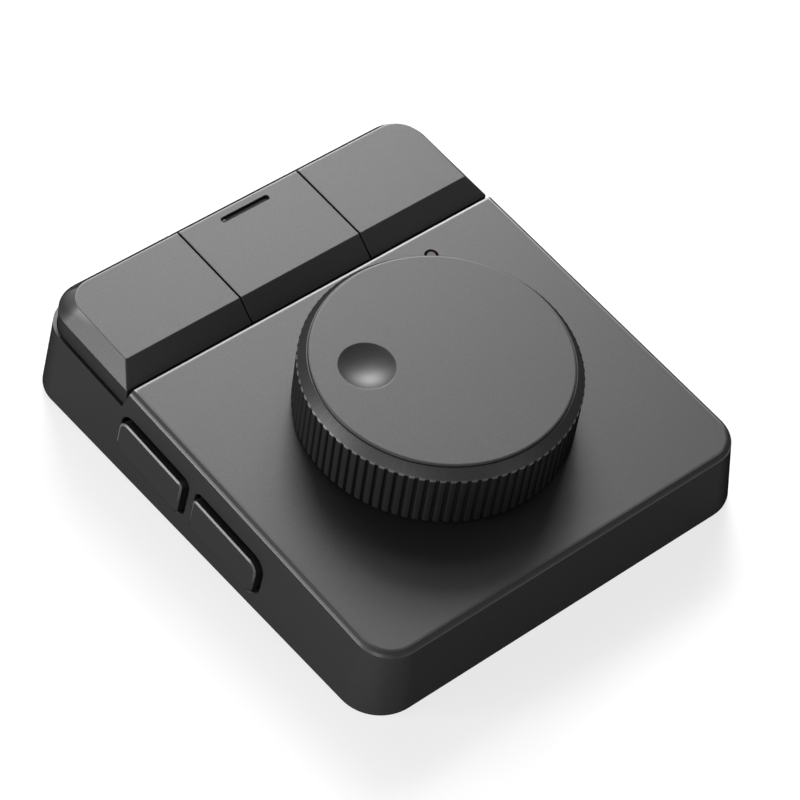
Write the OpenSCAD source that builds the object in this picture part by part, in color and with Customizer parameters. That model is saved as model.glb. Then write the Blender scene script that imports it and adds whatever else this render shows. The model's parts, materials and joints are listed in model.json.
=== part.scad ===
// Macro keypad with a large knob: a wedge-shaped desk controller with three keys,
// two side buttons and a rotary knob that also presses.
// Millimetres, +Z up, -Y towards the user. The origin is the centre of the base on the table.
// Most pieces are drawn in the deck frame, which on_deck() places: x is centred, y runs up
// the slope from the deck's front edge, and z is the height above the deck's surface.

/* [Housing] */
// Width of the housing at its base
base_w = 80; // [78:0.5:86]
// Length of the housing at its base
base_l = 92.4; // [91.4:0.2:98]
// Corner radius of the housing at its base
base_r = 7.4; // [6:0.2:9]
// Width of the bevel round the base
base_bevel = 0.6; // [0.3:0.1:1]
// How far the deck's side edges stand in from the base
side_draft = 1.85; // [1.4:0.05:2.3]
// How much shorter the deck and the key row are than the base
deck_short = 3.35; // [2.4:0.05:4.4]
// Corner radius of the deck
deck_r = 6; // [5:0.1:7.5]
// Run of the deck's edge chamfer
edge_run = 0.85; // [0.4:0.05:1.2]
// Drop of the deck's edge chamfer
edge_drop = 0.6; // [0.3:0.05:1]
// Distance from the base's front edge back to the deck's front edge
deck_setback = 0.67; // [0.2:0.01:1.6]
// Height of the deck's front edge above the table
front_h = 14.83; // [14.6:0.01:18]
// Slope of the deck in degrees
wedge = 4; // [3.5:0.25:6]
// Wall thickness of the housing
wall = 1.8; // [1.5:0.1:2]
// Thickness of the deck plate
deck_t = 1.8; // [1.4:0.1:2.2]
// Thickness of the bottom cover
cover_t = 2; // [1.8:0.1:2.3]
// Gap round the bottom cover
cover_gap = 0.15; // [0.1:0.05:0.3]

/* [Feet] */
// Height of the feet below the housing
foot_h = 0.5; // [0.3:0.1:1]
// Radius of a foot
foot_r = 5; // [4:0.25:5.5]
// Distance of the feet from the middle, sideways
foot_x = 26; // [22:0.5:27]
// Distance of the feet from the middle, front to back
foot_y = 37.5; // [32:0.5:38]
// Depth of the recess that holds a foot
foot_recess = 0.6; // [0.4:0.1:0.9]

/* [Keys] */
// Height of the key tops above the deck
key_top = 1.89; // [1.4:0.01:2.6]
// Depth of the keys' bevel foot below the deck
key_foot = 1.04; // [0.6:0.01:1.6]
// Length of the key row, from its front foot to its back foot
key_l = 22.93; // [22:0.01:24]
// Distance from the deck's back end to the keys' back foot
key_inset_back = 0.43; // [0.3:0.01:0.8]
// Distance from the deck's side to the keys' side foot
key_inset_side = 0.15; // [0.1:0.01:0.5]
// Run of the bevel at the keys' front
key_bevel_front = 3.59; // [2.5:0.01:4.5]
// Run of the bevel at the sides and back of the key row
key_bevel_side = 2.28; // [1.6:0.01:2.6]
// Corner radius of the key row's top
key_top_r = 4.6; // [3.5:0.1:5]
// Width of the gap between two keys
key_gap = 0.25; // [0.2:0.05:0.5]
// Width of the middle key
key_middle_w = 24.89; // [24:0.01:26]
// Depth of the keys' skirt below the deck
key_skirt = 5.4; // [5.2:0.1:5.8]
// Thickness of a key's top
key_t = 1.4; // [1:0.1:1.8]
// Thickness of a key's skirt
key_wall = 1.2; // [0.8:0.1:1.3]
// Travel of a key
key_travel = 1.5; // [1:0.1:1.6]
// Gap between the keys and the well round them
well_gap = 0.15; // [0.1:0.05:0.25]
// Gap between the deck's back edge and the keys' front foot
key_deck_gap = 1.04; // [0.6:0.01:1.6]
// Depth of the housing's rim beside the keys
rim_depth = 4.9; // [4.4:0.1:5.1]
// Slant of the rim's front ends: how far they lean back
rim_slant = 1.4; // [0.6:0.1:2]

/* [Key window] */
// Length of the light window in the middle key
window_l = 9.9; // [6:0.1:14]
// Width of the light window
window_w = 1; // [0.7:0.1:1.6]
// Distance from the window's centre to the back edge of the key's top
window_inset = 2; // [1.2:0.1:4]
// Depth of the window's face below the key's top
window_recess = 0.45; // [0.2:0.05:0.8]
// Radius of the light dot at the window's end
window_dot_r = 0.3; // [0.2:0.05:0.4]

/* [Key switches] */
// Side of a key switch body
switch_w = 12; // [10:0.2:12.2]
// Height of a key switch body above the board
switch_h = 6; // [5.6:0.1:6.1]
// Radius of a key stem
stem_r = 2.6; // [2:0.1:3]
// Radius of the stem's post, which the keycap grips
post_r = 1.6; // [1.2:0.1:1.9]
// Distance between a key's guide pins and its walls
guide_gap = 0.95; // [0.9:0.05:1.4]
// Radius of a guide pin
guide_r = 1.2; // [0.9:0.1:1.4]
// Wire radius of a key spring
spring_wire_r = 0.2; // [0.15:0.05:0.3]
// Turns of a key spring
spring_turns = 4; // [3:1:5]

/* [Boards] */
// Thickness of the key plate
plate_t = 1.2; // [1:0.1:1.4]
// Distance from the key plate down to the main board
plate_gap = 1.8; // [1.7:0.1:2.2]
// Thickness of the main board
board_t = 1.2; // [0.8:0.1:1.3]
// Gap between the main board and the side board
board_gap = 0.9; // [0.7:0.1:1.2]
// Distance from the deck's front edge to the main board
board_front = 8.5; // [7:0.25:10]
// Radius of the screw posts
boss_r = 2.2; // [1.8:0.1:2.4]
// Side of the controller chip
chip_w = 7; // [5:0.5:9]
// Thickness of the controller chip
chip_t = 0.9; // [0.7:0.1:1.4]
// Width of the radio module
radio_w = 12; // [9:0.5:14]
// Length of the radio module
radio_l = 10; // [8:0.5:11]
// Thickness of the radio module
radio_t = 1.8; // [1.4:0.1:2.4]
// Distance from the main board's front edge to the radio module
radio_inset = 7.5; // [4:0.5:8]
// Length of the pin header between the boards
header_l = 8; // [6:0.5:9]

/* [Knob] */
// Distance of the knob's axis behind the middle of the open deck
knob_shift = 1.925; // [0.5:0.025:3.5]
// Radius of the ribbed grip
knob_r = 23.1; // [22.8:0.05:25]
// Depth of the grooves between the ribs
rib_depth = 0.5; // [0.3:0.05:1]
// Number of ribs round the grip
rib_count = 88; // [60:1:110]
// Height of the knob's face above the deck
knob_h = 13.2; // [12:0.1:16]
// Gap between the knob and the deck
knob_gap = 0.6; // [0.6:0.05:1.2]
// Height above the deck at which the ribs meet the smooth band
rib_top = 11.05; // [8.5:0.05:11.4]
// Drop from the knob's face to the top of the band round it
band_drop = 0.35; // [0.2:0.05:0.6]
// Radius of the knob's face disc
face_r = 21.45; // [20.5:0.05:21.6]
// Thickness of the face disc
face_t = 2.8; // [2.4:0.1:3.2]
// Chamfer on the face disc's edge
face_chamfer = 0.3; // [0.1:0.05:0.5]
// Hairline gap round the face disc
face_gap = 0.05; // [0.03:0.01:0.1]
// Radius of the finger dimple's rim
dimple_r = 4.7; // [3.5:0.1:6]
// Depth of the finger dimple
dimple_depth = 1.3; // [1:0.1:2.1]
// Distance from the knob's axis to the dimple's centre
dimple_offset = 12.3; // [9:0.1:14]
// Direction of the dimple from the knob's axis, in degrees from +X
dimple_angle = 153.5; // [0:0.5:360]
// Travel of the knob when it is pressed
knob_travel = 0.5; // [0.3:0.05:0.5]

/* [Encoder] */
// Side of the encoder body
encoder_w = 12.4; // [11:0.1:14]
// Height of the encoder body above the main board
encoder_h = 6.5; // [6:0.1:7]
// Radius of the encoder's threaded neck
neck_r = 3.5; // [3.4:0.1:4]
// Height of the threaded neck above the deck
neck_top = 2.4; // [1.8:0.1:2.4]
// Radius of the encoder shaft
shaft_r = 3; // [2:0.1:3]
// Height of the shaft's end above the deck
shaft_top = 9.6; // [8:0.1:9.8]
// Width across the flats of the nut
nut_af = 10; // [9:0.5:12]
// Thickness of the nut
nut_t = 1.8; // [1.2:0.1:1.9]
// Thickness of the washer
washer_t = 0.4; // [0.3:0.05:0.5]
// Running clearance round shafts, stems, pins and plungers
run_gap = 0.05; // [0.03:0.01:0.08]

/* [Side buttons] */
// Length of a side button
button_l = 16.5; // [14:0.25:17]
// Height of a side button
button_h = 7; // [6:0.1:7.2]
// Distance from the deck's back edge to the middle between the two buttons
button_inset = 17.9; // [17:0.1:19]
// Distance between the two buttons
button_space = 3; // [2.7:0.1:3.3]
// Depth of the buttons' middle below the deck
button_depth = 9.5; // [9.2:0.1:9.8]
// How far a button stands out of the wall
button_proud = 1; // [0.7:0.1:1.5]
// Corner radius at the outer end of the pair
button_r_out = 2; // [1.2:0.1:3]
// Corner radius at the inner ends of the pair
button_r_in = 0.9; // [0.5:0.1:2]
// Gap between a button and its window
button_gap = 0.7; // [0.3:0.05:0.8]
// Chamfer round a button's face
button_edge = 0.45; // [0.2:0.05:0.7]
// Travel of a side button
button_travel = 0.6; // [0.3:0.05:0.6]
// Side of a side switch body
tact_w = 4; // [3:0.1:4.2]
// Height of a side switch body
tact_h = 1.6; // [1.6:0.1:1.8]
// Thickness of the side board
side_board_t = 0.8; // [0.6:0.1:1]

/* [Status light] */
// Distance of the status light from the middle
light_x = 20.85; // [19:0.25:22]
// Distance from the deck's back edge to the status light
light_inset = 4.7; // [3.6:0.05:5.2]
// Radius of the hole round the status light
light_hole_r = 1.15; // [0.9:0.05:1.3]
// Radius of the light guide
light_r = 0.75; // [0.5:0.05:0.8]

/* [Power] */
// Width of the battery
battery_w = 40; // [30:1:42]
// Length of the battery
battery_l = 30; // [24:1:31]
// Thickness of the battery
battery_t = 3; // [2:0.1:3.1]
// Distance from the base's back edge to the battery
battery_inset = 10.7; // [9:0.1:12]
// Thickness of the battery's pad
pad_t = 0.3; // [0.2:0.05:0.4]
// Width of the socket's metal shell
usb_w = 8.94; // [8.9:0.02:9.1]
// Height of the socket's metal shell
usb_h = 3.26; // [3.2:0.02:3.4]
// Length of the socket's metal shell
usb_l = 7.35; // [6.5:0.05:8]
// Distance of the power slider from the middle
slider_x = 20; // [18.5:0.5:22]
// Travel of the power slider
slider_travel = 2; // [1:0.1:2.2]

/* [Screws] */
// Radius of a screw's shank
screw_r = 0.9; // [0.7:0.05:1]
// Radius of a screw's head
head_r = 1.6; // [1.4:0.05:1.7]
// Height of a screw's head
head_h = 1; // [0.8:0.05:1]
// Length of a screw's shank
screw_l = 5; // [4.4:0.1:5.4]
// Clearance round a screw
screw_gap = 0.1; // [0.05:0.05:0.15]

/* [Hidden] */

// Colours
black_plastic = [0.2, 0.2, 0.205];
grip_plastic = [0.13, 0.13, 0.135];
rubber_black = [0.08, 0.08, 0.08];
board_green = [0.05, 0.22, 0.12];
steel = [0.72, 0.72, 0.74];
brass = [0.75, 0.6, 0.3];
light_plastic = [0.85, 0.87, 0.9];
wrap_silver = [0.75, 0.76, 0.78];

// Smoothness: round pieces, and the corners of hulled shapes
$fn = 64;
hull_fn = 32;
// Thickness of the thin slabs that a hull joins, and the overlap of a cut
slab_t = 0.01;
cut = 0.05;

// Levels in the deck frame, as heights above the deck's surface
skirt_pressed = -(key_skirt + key_travel);
well_bottom = skirt_pressed - 0.4;
bay_top = key_top + 5;
plate_top = well_bottom - 0.3;
plate_bottom = plate_top - plate_t;
board_top = plate_bottom - plate_gap;
board_bottom = board_top - board_t;

// The deck's outline, and places in the part's own frame
deck_w = base_w - 2 * side_draft;
deck_l = base_l - deck_short;
deck_y0 = -base_l / 2 + deck_setback;
cover_top = foot_h + cover_t;

// The key row in the deck frame
row_half_w = deck_w / 2 - key_inset_side;
row_back = deck_l - key_inset_back;
row_front = row_back - key_l;
row_r = deck_r;
row_mid = (row_front + row_back) / 2;
deck_back = row_front - key_deck_gap;
key_split = key_middle_w / 2 + key_gap / 2;
key_side_x = (row_half_w + key_split + key_gap / 2) / 2;
key_under = key_top - key_t;
side_key_w = row_half_w - key_split - key_gap / 2;
guide_x = min(key_middle_w, side_key_w) / 2 - key_wall - guide_r - guide_gap;
keys = [["left", -1], ["middle", 0], ["right", 1]];

// Screw pillars of the key plate and the case, in the deck frame: [x, y]
pillar_r = boss_r + 0.2;
pillar_inset = 3.25;
pilot_r = screw_r + screw_gap;
// Length of the pillars under the key plate, and the ribs that tie them to the walls
plate_pillar_l = 5;
rear_rib = [4.8, 1.6];
side_rib = [3.4, 2];
deck_rib_t = 1.6;
plate_front_pillar = [deck_w / 2 - pillar_inset, row_front + pillar_inset + 0.25];
plate_rear_pillar = [key_side_x + switch_w / 2 + boss_r + 0.65, row_back - 2 * boss_r];
case_front_pillar = [deck_w / 2 - pillar_inset - 0.9, 7.5];
board_post_ys = [board_front + 6.5, deck_back - 7.15];
standoff_ys = [row_front + boss_r + 0.5, row_back - boss_r - 1.2];
knob_y = deck_back / 2 + knob_shift;
light_y = deck_back - light_inset;

// The encoder's levels
encoder_top = board_top + encoder_h;
chamber_top = encoder_top - 1.1;
chamber_floor = board_top + 0.8;
shaft_end = chamber_floor + knob_travel + 1.3;
chamber_r = shaft_r + 1.6;
rotor_r = shaft_r + 1.2;

// A key switch's floor, and the stem in it, whose collar stands one travel above the switch
switch_floor = board_top + 0.6;
stem_shoulder = board_top + switch_h + key_travel;
stem_bottom = switch_floor + key_travel + 1.3;

// The knob's hub, its grip, and how far the band stands proud of the ribs
hub_top = knob_h - face_t - face_gap;
hub_bottom = neck_top + knob_travel + 0.1;
hub_disc_t = 1.8;
grip_inner_r = face_r - 0.55;
band_lip = 0.05;

// The side buttons' stack, as distances outwards from the wall's face
flange_outer = -wall - 0.3;
flange_inner = flange_outer - 0.8;
plunger_top = flange_inner - 0.6;
tact_top = plunger_top - button_travel - 0.2;
tact_bottom = tact_top - tact_h;
side_board_back = tact_bottom - side_board_t;
side_mid_y = deck_back - button_inset;
button_pitch = button_l + button_space;
button_ys = [side_mid_y - button_pitch / 2, side_mid_y + button_pitch / 2];
side_boss_r = 1.3;
side_screw_r = 0.5;
side_screw_ys = [button_ys[0] - button_l / 2 - side_boss_r - 2.8, side_mid_y];
side_plunger_r = 1;

// The socket and the power switch, under the main board at the back
usb_z = board_bottom - usb_h / 2;
usb_recess = 0.6;
usb_back_t = 0.8;
usb_shell_t = 0.3;
tongue_w = 6.7;
tongue_t = 0.7;
tongue_root_t = 2.2;
power_h = 2.4;
power_w = 8.4;
power_z = board_bottom - power_h / 2;
power_depth = 3.5;
power_case_t = 0.4;
shuttle_front = 0.6;
shuttle_l = 1.9;
lever_w = 2;
lever_h = 1.3;
lever_proud = 0.8;

// Wall drop, and the wall's outer face, beside or behind a point of the deck
function wall_drop(y) = (front_h + y * sin(wedge) - foot_h - base_bevel) / cos(wedge) - edge_drop;
function side_lean(y) = atan((base_w - deck_w) / 2 / wall_drop(y));
function side_x(y, depth) = deck_w / 2 + (depth - edge_drop) * tan(side_lean(y));
base_back_run = (base_l - deck_setback) * cos(wedge)
    - (front_h - foot_h - base_bevel) * sin(wedge) - deck_l;
function back_y(depth) = deck_l + (depth - edge_drop) * base_back_run / wall_drop(deck_l);
// A deck-frame point's Y and Z in the part's own frame
function part_y(y, z) = deck_y0 + y * cos(wedge) - z * sin(wedge);
function part_z(y, z) = front_h + y * sin(wedge) + z * cos(wedge);
// A key's middle in the deck frame
function key_x(side) = side * key_side_x;

// The main board's half width leaves room for the side board
board_half_w = side_x(side_mid_y, button_depth) + side_board_back - board_gap;
board_post_x = board_half_w - 5.1;
power_front = back_y(-power_z) - wall - power_depth - 0.4;
battery_y = base_l / 2 - battery_inset - battery_l;
battery_lead_y = 4.5;
lead_l = 1.2;

module on_deck() {
    translate([0, deck_y0, front_h]) rotate([wedge, 0, 0]) children();
}

// Frame of a side button on the left wall: x up the wall, y to the back, z out of the wall
module on_side(y) {
    on_deck() translate([-side_x(side_mid_y, button_depth), y, -button_depth])
        rotate([0, -(90 - side_lean(side_mid_y)), 0]) children();
}

// Flat rounded rectangle, centred
module rounded_rect(w, l, r) {
    square([w - 2 * r, l], center = true);
    square([w, l - 2 * r], center = true);
    for (x = [-1, 1], y = [-1, 1])
        translate([x * (w / 2 - r), y * (l / 2 - r)]) circle(r);
}

// Thin slab for a hull to join
module slab(w, l, r) {
    linear_extrude(slab_t) rounded_rect(w, l, r, $fn = hull_fn);
}

module deck_slab(z, inset) {
    on_deck() translate([0, deck_l / 2, z])
        slab(deck_w - 2 * inset, deck_l - 2 * inset, deck_r - inset);
}

// Screw with its head below z = 0 and its shank above
module screw(l = screw_l) {
    translate([0, 0, -head_h]) cylinder(r = head_r, h = head_h);
    cylinder(r = screw_r, h = l);
}

// Coil spring standing on z = 0, as one closed tube
module coil_spring(r, h, wire, turns) {
    steps = 14 * turns;
    sides = 6;
    function centre(i) = [r * cos(360 * turns * i / steps), r * sin(360 * turns * i / steps),
        wire + (h - 2 * wire) * i / steps];
    points = [for (i = [0 : steps], j = [0 : sides - 1])
        let (a = 360 * turns * i / steps, b = 360 * j / sides)
        centre(i) + [wire * cos(b) * cos(a), wire * cos(b) * sin(a), wire * sin(b)]];
    walls = [for (i = [0 : steps - 1], j = [0 : sides - 1])
        [i * sides + j, i * sides + (j + 1) % sides,
         (i + 1) * sides + (j + 1) % sides, (i + 1) * sides + j]];
    start = [[for (j = [sides - 1 : -1 : 0]) j]];
    end = [[for (j = [0 : sides - 1]) steps * sides + j]];
    polyhedron(points, concat(walls, start, end), convexity = 8);
}

/* Housing */

module housing_outside() {
    hull() {
        translate([0, 0, foot_h])
            slab(base_w - 2 * base_bevel, base_l - 2 * base_bevel, base_r - base_bevel);
        translate([0, 0, foot_h + base_bevel]) slab(base_w, base_l, base_r);
        deck_slab(-edge_drop - slab_t, 0);
        deck_slab(-slab_t, edge_run);
    }
}

module cover_opening(h) {
    linear_extrude(h) rounded_rect(base_w - 2 * wall, base_l - 2 * wall, base_r - wall);
}

module housing_inside() {
    hull() {
        translate([0, 0, cover_top]) slab(base_w - 2 * wall, base_l - 2 * wall, base_r - wall);
        deck_slab(-deck_t - slab_t, wall);
    }
    translate([0, 0, foot_h - 1]) cover_opening(cover_t + 1 + cut);
}

// Outline of the key row at its foot, grown by gap; its front corners are square
module row_outline(gap) {
    front = row_front - gap;
    back = row_back + gap;
    half = row_half_w + gap;
    r = row_r + gap;
    translate([0, (front + back - r) / 2]) square([2 * half, back - r - front], center = true);
    translate([0, back - r / 2]) square([2 * (half - r), r], center = true);
    for (x = [-1, 1]) translate([x * (half - r), back - r]) circle(r);
}

// Space over the rim and in the well that the keys move in
module key_bay() {
    on_deck() {
        rotate([90, 0, 90]) translate([0, 0, -base_w]) linear_extrude(2 * base_w)
            polygon([[deck_back, bay_top], [deck_back, -edge_drop],
                [deck_back + rim_slant, -rim_depth], [base_l, -rim_depth], [base_l, bay_top]]);
        translate([0, 0, well_bottom]) linear_extrude(bay_top - well_bottom) {
            row_outline(well_gap);
            translate([0, (deck_back + row_mid) / 2])
                square([2 * (row_half_w + well_gap), row_mid - deck_back], center = true);
        }
    }
}

// Outline of a side button; the pair's outer end has the larger radius
module button_outline(rear, grow) {
    l = button_l + 2 * grow;
    h = button_h + 2 * grow;
    out = rear ? 1 : -1;
    translate([0, out * l / 8]) rounded_rect(h, l * 3 / 4, button_r_out + grow);
    translate([0, -out * l / 8]) rounded_rect(h, l * 3 / 4, button_r_in + grow);
}

module stadium(w, h) {
    square([w - h, h], center = true);
    for (x = [-1, 1]) translate([x * (w - h) / 2, 0]) circle(h / 2);
}

module housing_openings() {
    for (i = [0, 1]) on_side(button_ys[i]) translate([0, 0, -wall - 1.5])
        linear_extrude(wall + 3) button_outline(i == 1, button_gap);
    on_deck() {
        translate([0, knob_y, -deck_t - 1]) cylinder(r = neck_r + screw_gap, h = deck_t + 2);
        translate([light_x, light_y, -deck_t - 1]) cylinder(r = light_hole_r, h = deck_t + 2);
        translate([0, deck_l + 6, usb_z]) rotate([90, 0, 0])
            linear_extrude(10) stadium(usb_w + 0.6, usb_h + 0.6);
        translate([slider_x, deck_l + 6, power_z]) rotate([90, 0, 0])
            linear_extrude(10) stadium(lever_w + slider_travel + 1, lever_h + 0.8);
    }
}

// Pillar with a pilot hole up from the cover
module case_pillar(x, y, top) {
    difference() {
        translate([x, y, cover_top]) cylinder(r = boss_r + 0.3, h = top - cover_top);
        translate([x, y, cover_top - cut]) cylinder(r = pilot_r, h = screw_l);
    }
}

// Rib beside a pillar of the key plate
module pillar_rib(x, y, size) {
    translate([x, y, plate_bottom - plate_pillar_l]) linear_extrude(plate_pillar_l)
        square(size, center = true);
}

module housing_pillars() {
    front = case_front_pillar;
    side = plate_front_pillar;
    rear = plate_rear_pillar;
    rear_y = part_y(rear[1], plate_bottom);
    for (x = [-1, 1]) {
        case_pillar(x * front[0], part_y(front[1], 0), part_z(front[1], -deck_t / 2));
        // Rear pillar: case screw below, key plate screw above, rib to the wall
        difference() {
            union() {
                case_pillar(x * rear[0], rear_y, part_z(rear[1], plate_bottom) + 1);
                on_deck() pillar_rib(x * (rear[0] + rear_rib[0] / 2), rear[1], rear_rib);
            }
            on_deck() translate([x * rear[0], rear[1], plate_bottom]) {
                linear_extrude(plate_pillar_l) square(4 * boss_r, center = true);
                translate([0, 0, -screw_l + 1]) cylinder(r = pilot_r, h = screw_l);
            }
        }
        // Side pillar of the key plate, on the side wall
        on_deck() difference() {
            union() {
                translate([x * side[0], side[1], plate_bottom - plate_pillar_l])
                    cylinder(r = pillar_r, h = plate_pillar_l);
                pillar_rib(x * (side[0] + side_rib[0] / 2), side[1], side_rib);
            }
            translate([x * side[0], side[1], plate_bottom - screw_l + 0.5])
                cylinder(r = pilot_r, h = screw_l);
        }
        // Posts of the main board, under the deck
        for (y = board_post_ys) on_deck() difference() {
            translate([x * board_post_x, y, board_top])
                cylinder(r = boss_r, h = -board_top - deck_t / 2);
            translate([x * board_post_x, y, board_top - cut])
                cylinder(r = pilot_r, h = screw_l);
        }
    }
    // Posts of the side board, inside the left wall
    for (y = side_screw_ys) on_side(y) difference() {
        translate([0, 0, tact_bottom]) cylinder(r = side_boss_r, h = -tact_bottom - wall / 2);
        translate([0, 0, tact_bottom - cut]) cylinder(r = side_screw_r + screw_gap, h = 2.6);
    }
    // Rib under the deck's back edge
    on_deck() translate([-board_half_w, deck_back - deck_rib_t, well_bottom])
        cube([2 * board_half_w, deck_rib_t, -well_bottom - deck_t / 2]);
}

module housing() {
    color(black_plastic) {
        difference() {
            housing_outside();
            housing_inside();
            key_bay();
            housing_openings();
        }
        housing_pillars();
    }
}

module cover_screw_places() {
    for (x = [-1, 1]) {
        translate([x * case_front_pillar[0], part_y(case_front_pillar[1], 0), 0]) children();
        translate([x * plate_rear_pillar[0], part_y(plate_rear_pillar[1], plate_bottom), 0])
            children();
    }
}

module foot_places() {
    for (x = [-1, 1], y = [-1, 1]) translate([x * foot_x, y * foot_y, 0]) children();
}

module bottom_cover() {
    color(black_plastic) difference() {
        translate([0, 0, foot_h]) linear_extrude(cover_t)
            rounded_rect(base_w - 2 * (wall + cover_gap), base_l - 2 * (wall + cover_gap),
                base_r - wall - cover_gap);
        foot_places() translate([0, 0, foot_h - cut])
            cylinder(r = foot_r + cover_gap, h = foot_recess + cut);
        cover_screw_places() {
            cylinder(r = pilot_r, h = cover_top + 1);
            translate([0, 0, foot_h - cut]) cylinder(r = head_r + 0.2, h = head_h + 0.1 + cut);
        }
    }
}

module rubber_feet() {
    color(rubber_black) foot_places() rotate_extrude()
        polygon([[0, 0], [foot_r - 0.3, 0], [foot_r, 0.3],
            [foot_r, foot_h + foot_recess], [0, foot_h + foot_recess]]);
}

module case_screws() {
    color(steel) cover_screw_places()
        translate([0, 0, foot_h + head_h + 0.1]) screw(screw_l);
}

/* Main board */

module board_outline() {
    rear = back_y(-board_bottom) - wall - 1.4;
    difference() {
        translate([-board_half_w, board_front]) square([2 * board_half_w, rear - board_front]);
        for (x = [-1, 1]) {
            translate([x * case_front_pillar[0], case_front_pillar[1]]) circle(boss_r + 1.2);
            translate([x * plate_rear_pillar[0], plate_rear_pillar[1]]) circle(boss_r + 1.2);
            for (y = board_post_ys) translate([x * board_post_x, y])
                circle(pilot_r);
            for (y = standoff_ys) translate([x * key_split, y]) circle(pilot_r);
        }
    }
}

module main_board() {
    color(board_green) on_deck() translate([0, 0, board_bottom])
        linear_extrude(board_t) board_outline();
}

module board_screws() {
    color(steel) on_deck() for (x = [-1, 1]) {
        for (y = board_post_ys) translate([x * board_post_x, y, board_bottom]) screw(screw_l);
        for (y = standoff_ys) translate([x * key_split, y, board_bottom]) screw(board_t + 2.8);
    }
}

// Small lights on the main board: one below the status light guide, one below the key window
module board_lights() {
    color(light_plastic) on_deck() {
        translate([light_x - 0.8, light_y - 0.4, board_top]) cube([1.6, 0.8, 0.6]);
        translate([-window_l / 2, row_back - key_bevel_side - window_inset - 0.4, board_top])
            cube([1.6, 0.8, 0.6]);
    }
}

module controller_chip() {
    color(grip_plastic) on_deck()
        translate([-board_half_w / 2 - chip_w / 2, board_front + radio_inset + 4, board_top])
            cube([chip_w, chip_w, chip_t]);
}

module radio_module() {
    color(steel) on_deck()
        translate([board_half_w / 2 - radio_w / 2, board_front + radio_inset, board_top])
            cube([radio_w, radio_l, radio_t]);
}

/* Key plate and key switches */

module key_plate() {
    color(steel) on_deck() {
        difference() {
            union() {
                translate([0, 0, plate_bottom]) linear_extrude(plate_t) plate_outline();
                for (k = keys, x = [-1, 1])
                    translate([key_x(k[1]) + x * guide_x, row_mid, plate_bottom])
                        cylinder(r = guide_r + 0.7, h = plate_t + 1.7);
                for (x = [-1, 1], y = standoff_ys) translate([x * key_split, y, board_top])
                    cylinder(r = boss_r - 0.2, h = plate_gap + cut);
            }
            for (k = keys) {
                translate([key_x(k[1]) - switch_w / 2 - 0.05, row_mid - switch_w / 2 - 0.05,
                    plate_bottom - cut]) cube([switch_w + 0.1, switch_w + 0.1, plate_t + 1]);
                for (x = [-1, 1])
                    translate([key_x(k[1]) + x * guide_x, row_mid, plate_bottom - cut])
                        cylinder(r = guide_r + run_gap, h = plate_t + 3);
            }
            for (x = [-1, 1]) {
                for (y = standoff_ys) translate([x * key_split, y, board_top - cut])
                    cylinder(r = pilot_r, h = plate_gap + plate_t + 1);
                for (p = [plate_front_pillar, plate_rear_pillar])
                    translate([x * p[0], p[1], plate_bottom - cut])
                        cylinder(r = pilot_r, h = plate_t + 1);
            }
        }
    }
}

module plate_outline() {
    front = deck_back + 0.35;
    back = deck_l - wall - 0.2;
    translate([0, (front + back) / 2]) rounded_rect(deck_w - 2 * (wall + 0.2), back - front, 3);
}

module key_plate_screws() {
    color(steel) on_deck() for (x = [-1, 1], p = [plate_front_pillar, plate_rear_pillar])
        translate([x * p[0], p[1], plate_top]) mirror([0, 0, 1]) screw(screw_l - 0.2);
}

module key_switch(side) {
    color(grip_plastic) on_deck() translate([key_x(side), row_mid, board_top]) difference() {
        translate([-switch_w / 2, -switch_w / 2, 0]) cube([switch_w, switch_w, switch_h]);
        translate([0, 0, switch_floor - board_top]) cylinder(r = stem_r + run_gap, h = switch_h);
    }
}

module key_stem(side) {
    color(light_plastic) on_deck() translate([key_x(side), row_mid, 0]) {
        translate([0, 0, stem_bottom])
            cylinder(r = stem_r, h = stem_shoulder - stem_bottom);
        translate([0, 0, stem_shoulder - cut])
            cylinder(r = post_r, h = key_under - 0.2 - stem_shoulder + cut);
    }
}

module key_spring(side) {
    end_gap = 0.05;
    color(steel) on_deck() translate([key_x(side), row_mid, switch_floor + end_gap])
        coil_spring(stem_r - 0.5, stem_bottom - switch_floor - 2 * end_gap, spring_wire_r,
            spring_turns);
}

/* Keycaps */

// The whole key row's outside: bevelled top on a straight skirt
module row_outside() {
    hull() {
        translate([0, 0, -key_foot]) linear_extrude(slab_t)
            row_outline(0, $fn = hull_fn);
        top_front = row_front + key_bevel_front;
        top_back = row_back - key_bevel_side;
        half = row_half_w - key_bevel_side;
        translate([0, 0, key_top - slab_t]) linear_extrude(slab_t) {
            translate([-half, top_front]) square([2 * half, top_back - key_top_r - top_front]);
            for (x = [-1, 1]) translate([x * (half - key_top_r), top_back - key_top_r])
                circle(key_top_r, $fn = hull_fn);
        }
    }
    translate([0, 0, -key_skirt]) linear_extrude(key_skirt - key_foot + slab_t)
        row_outline(0, $fn = hull_fn);
}

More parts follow.
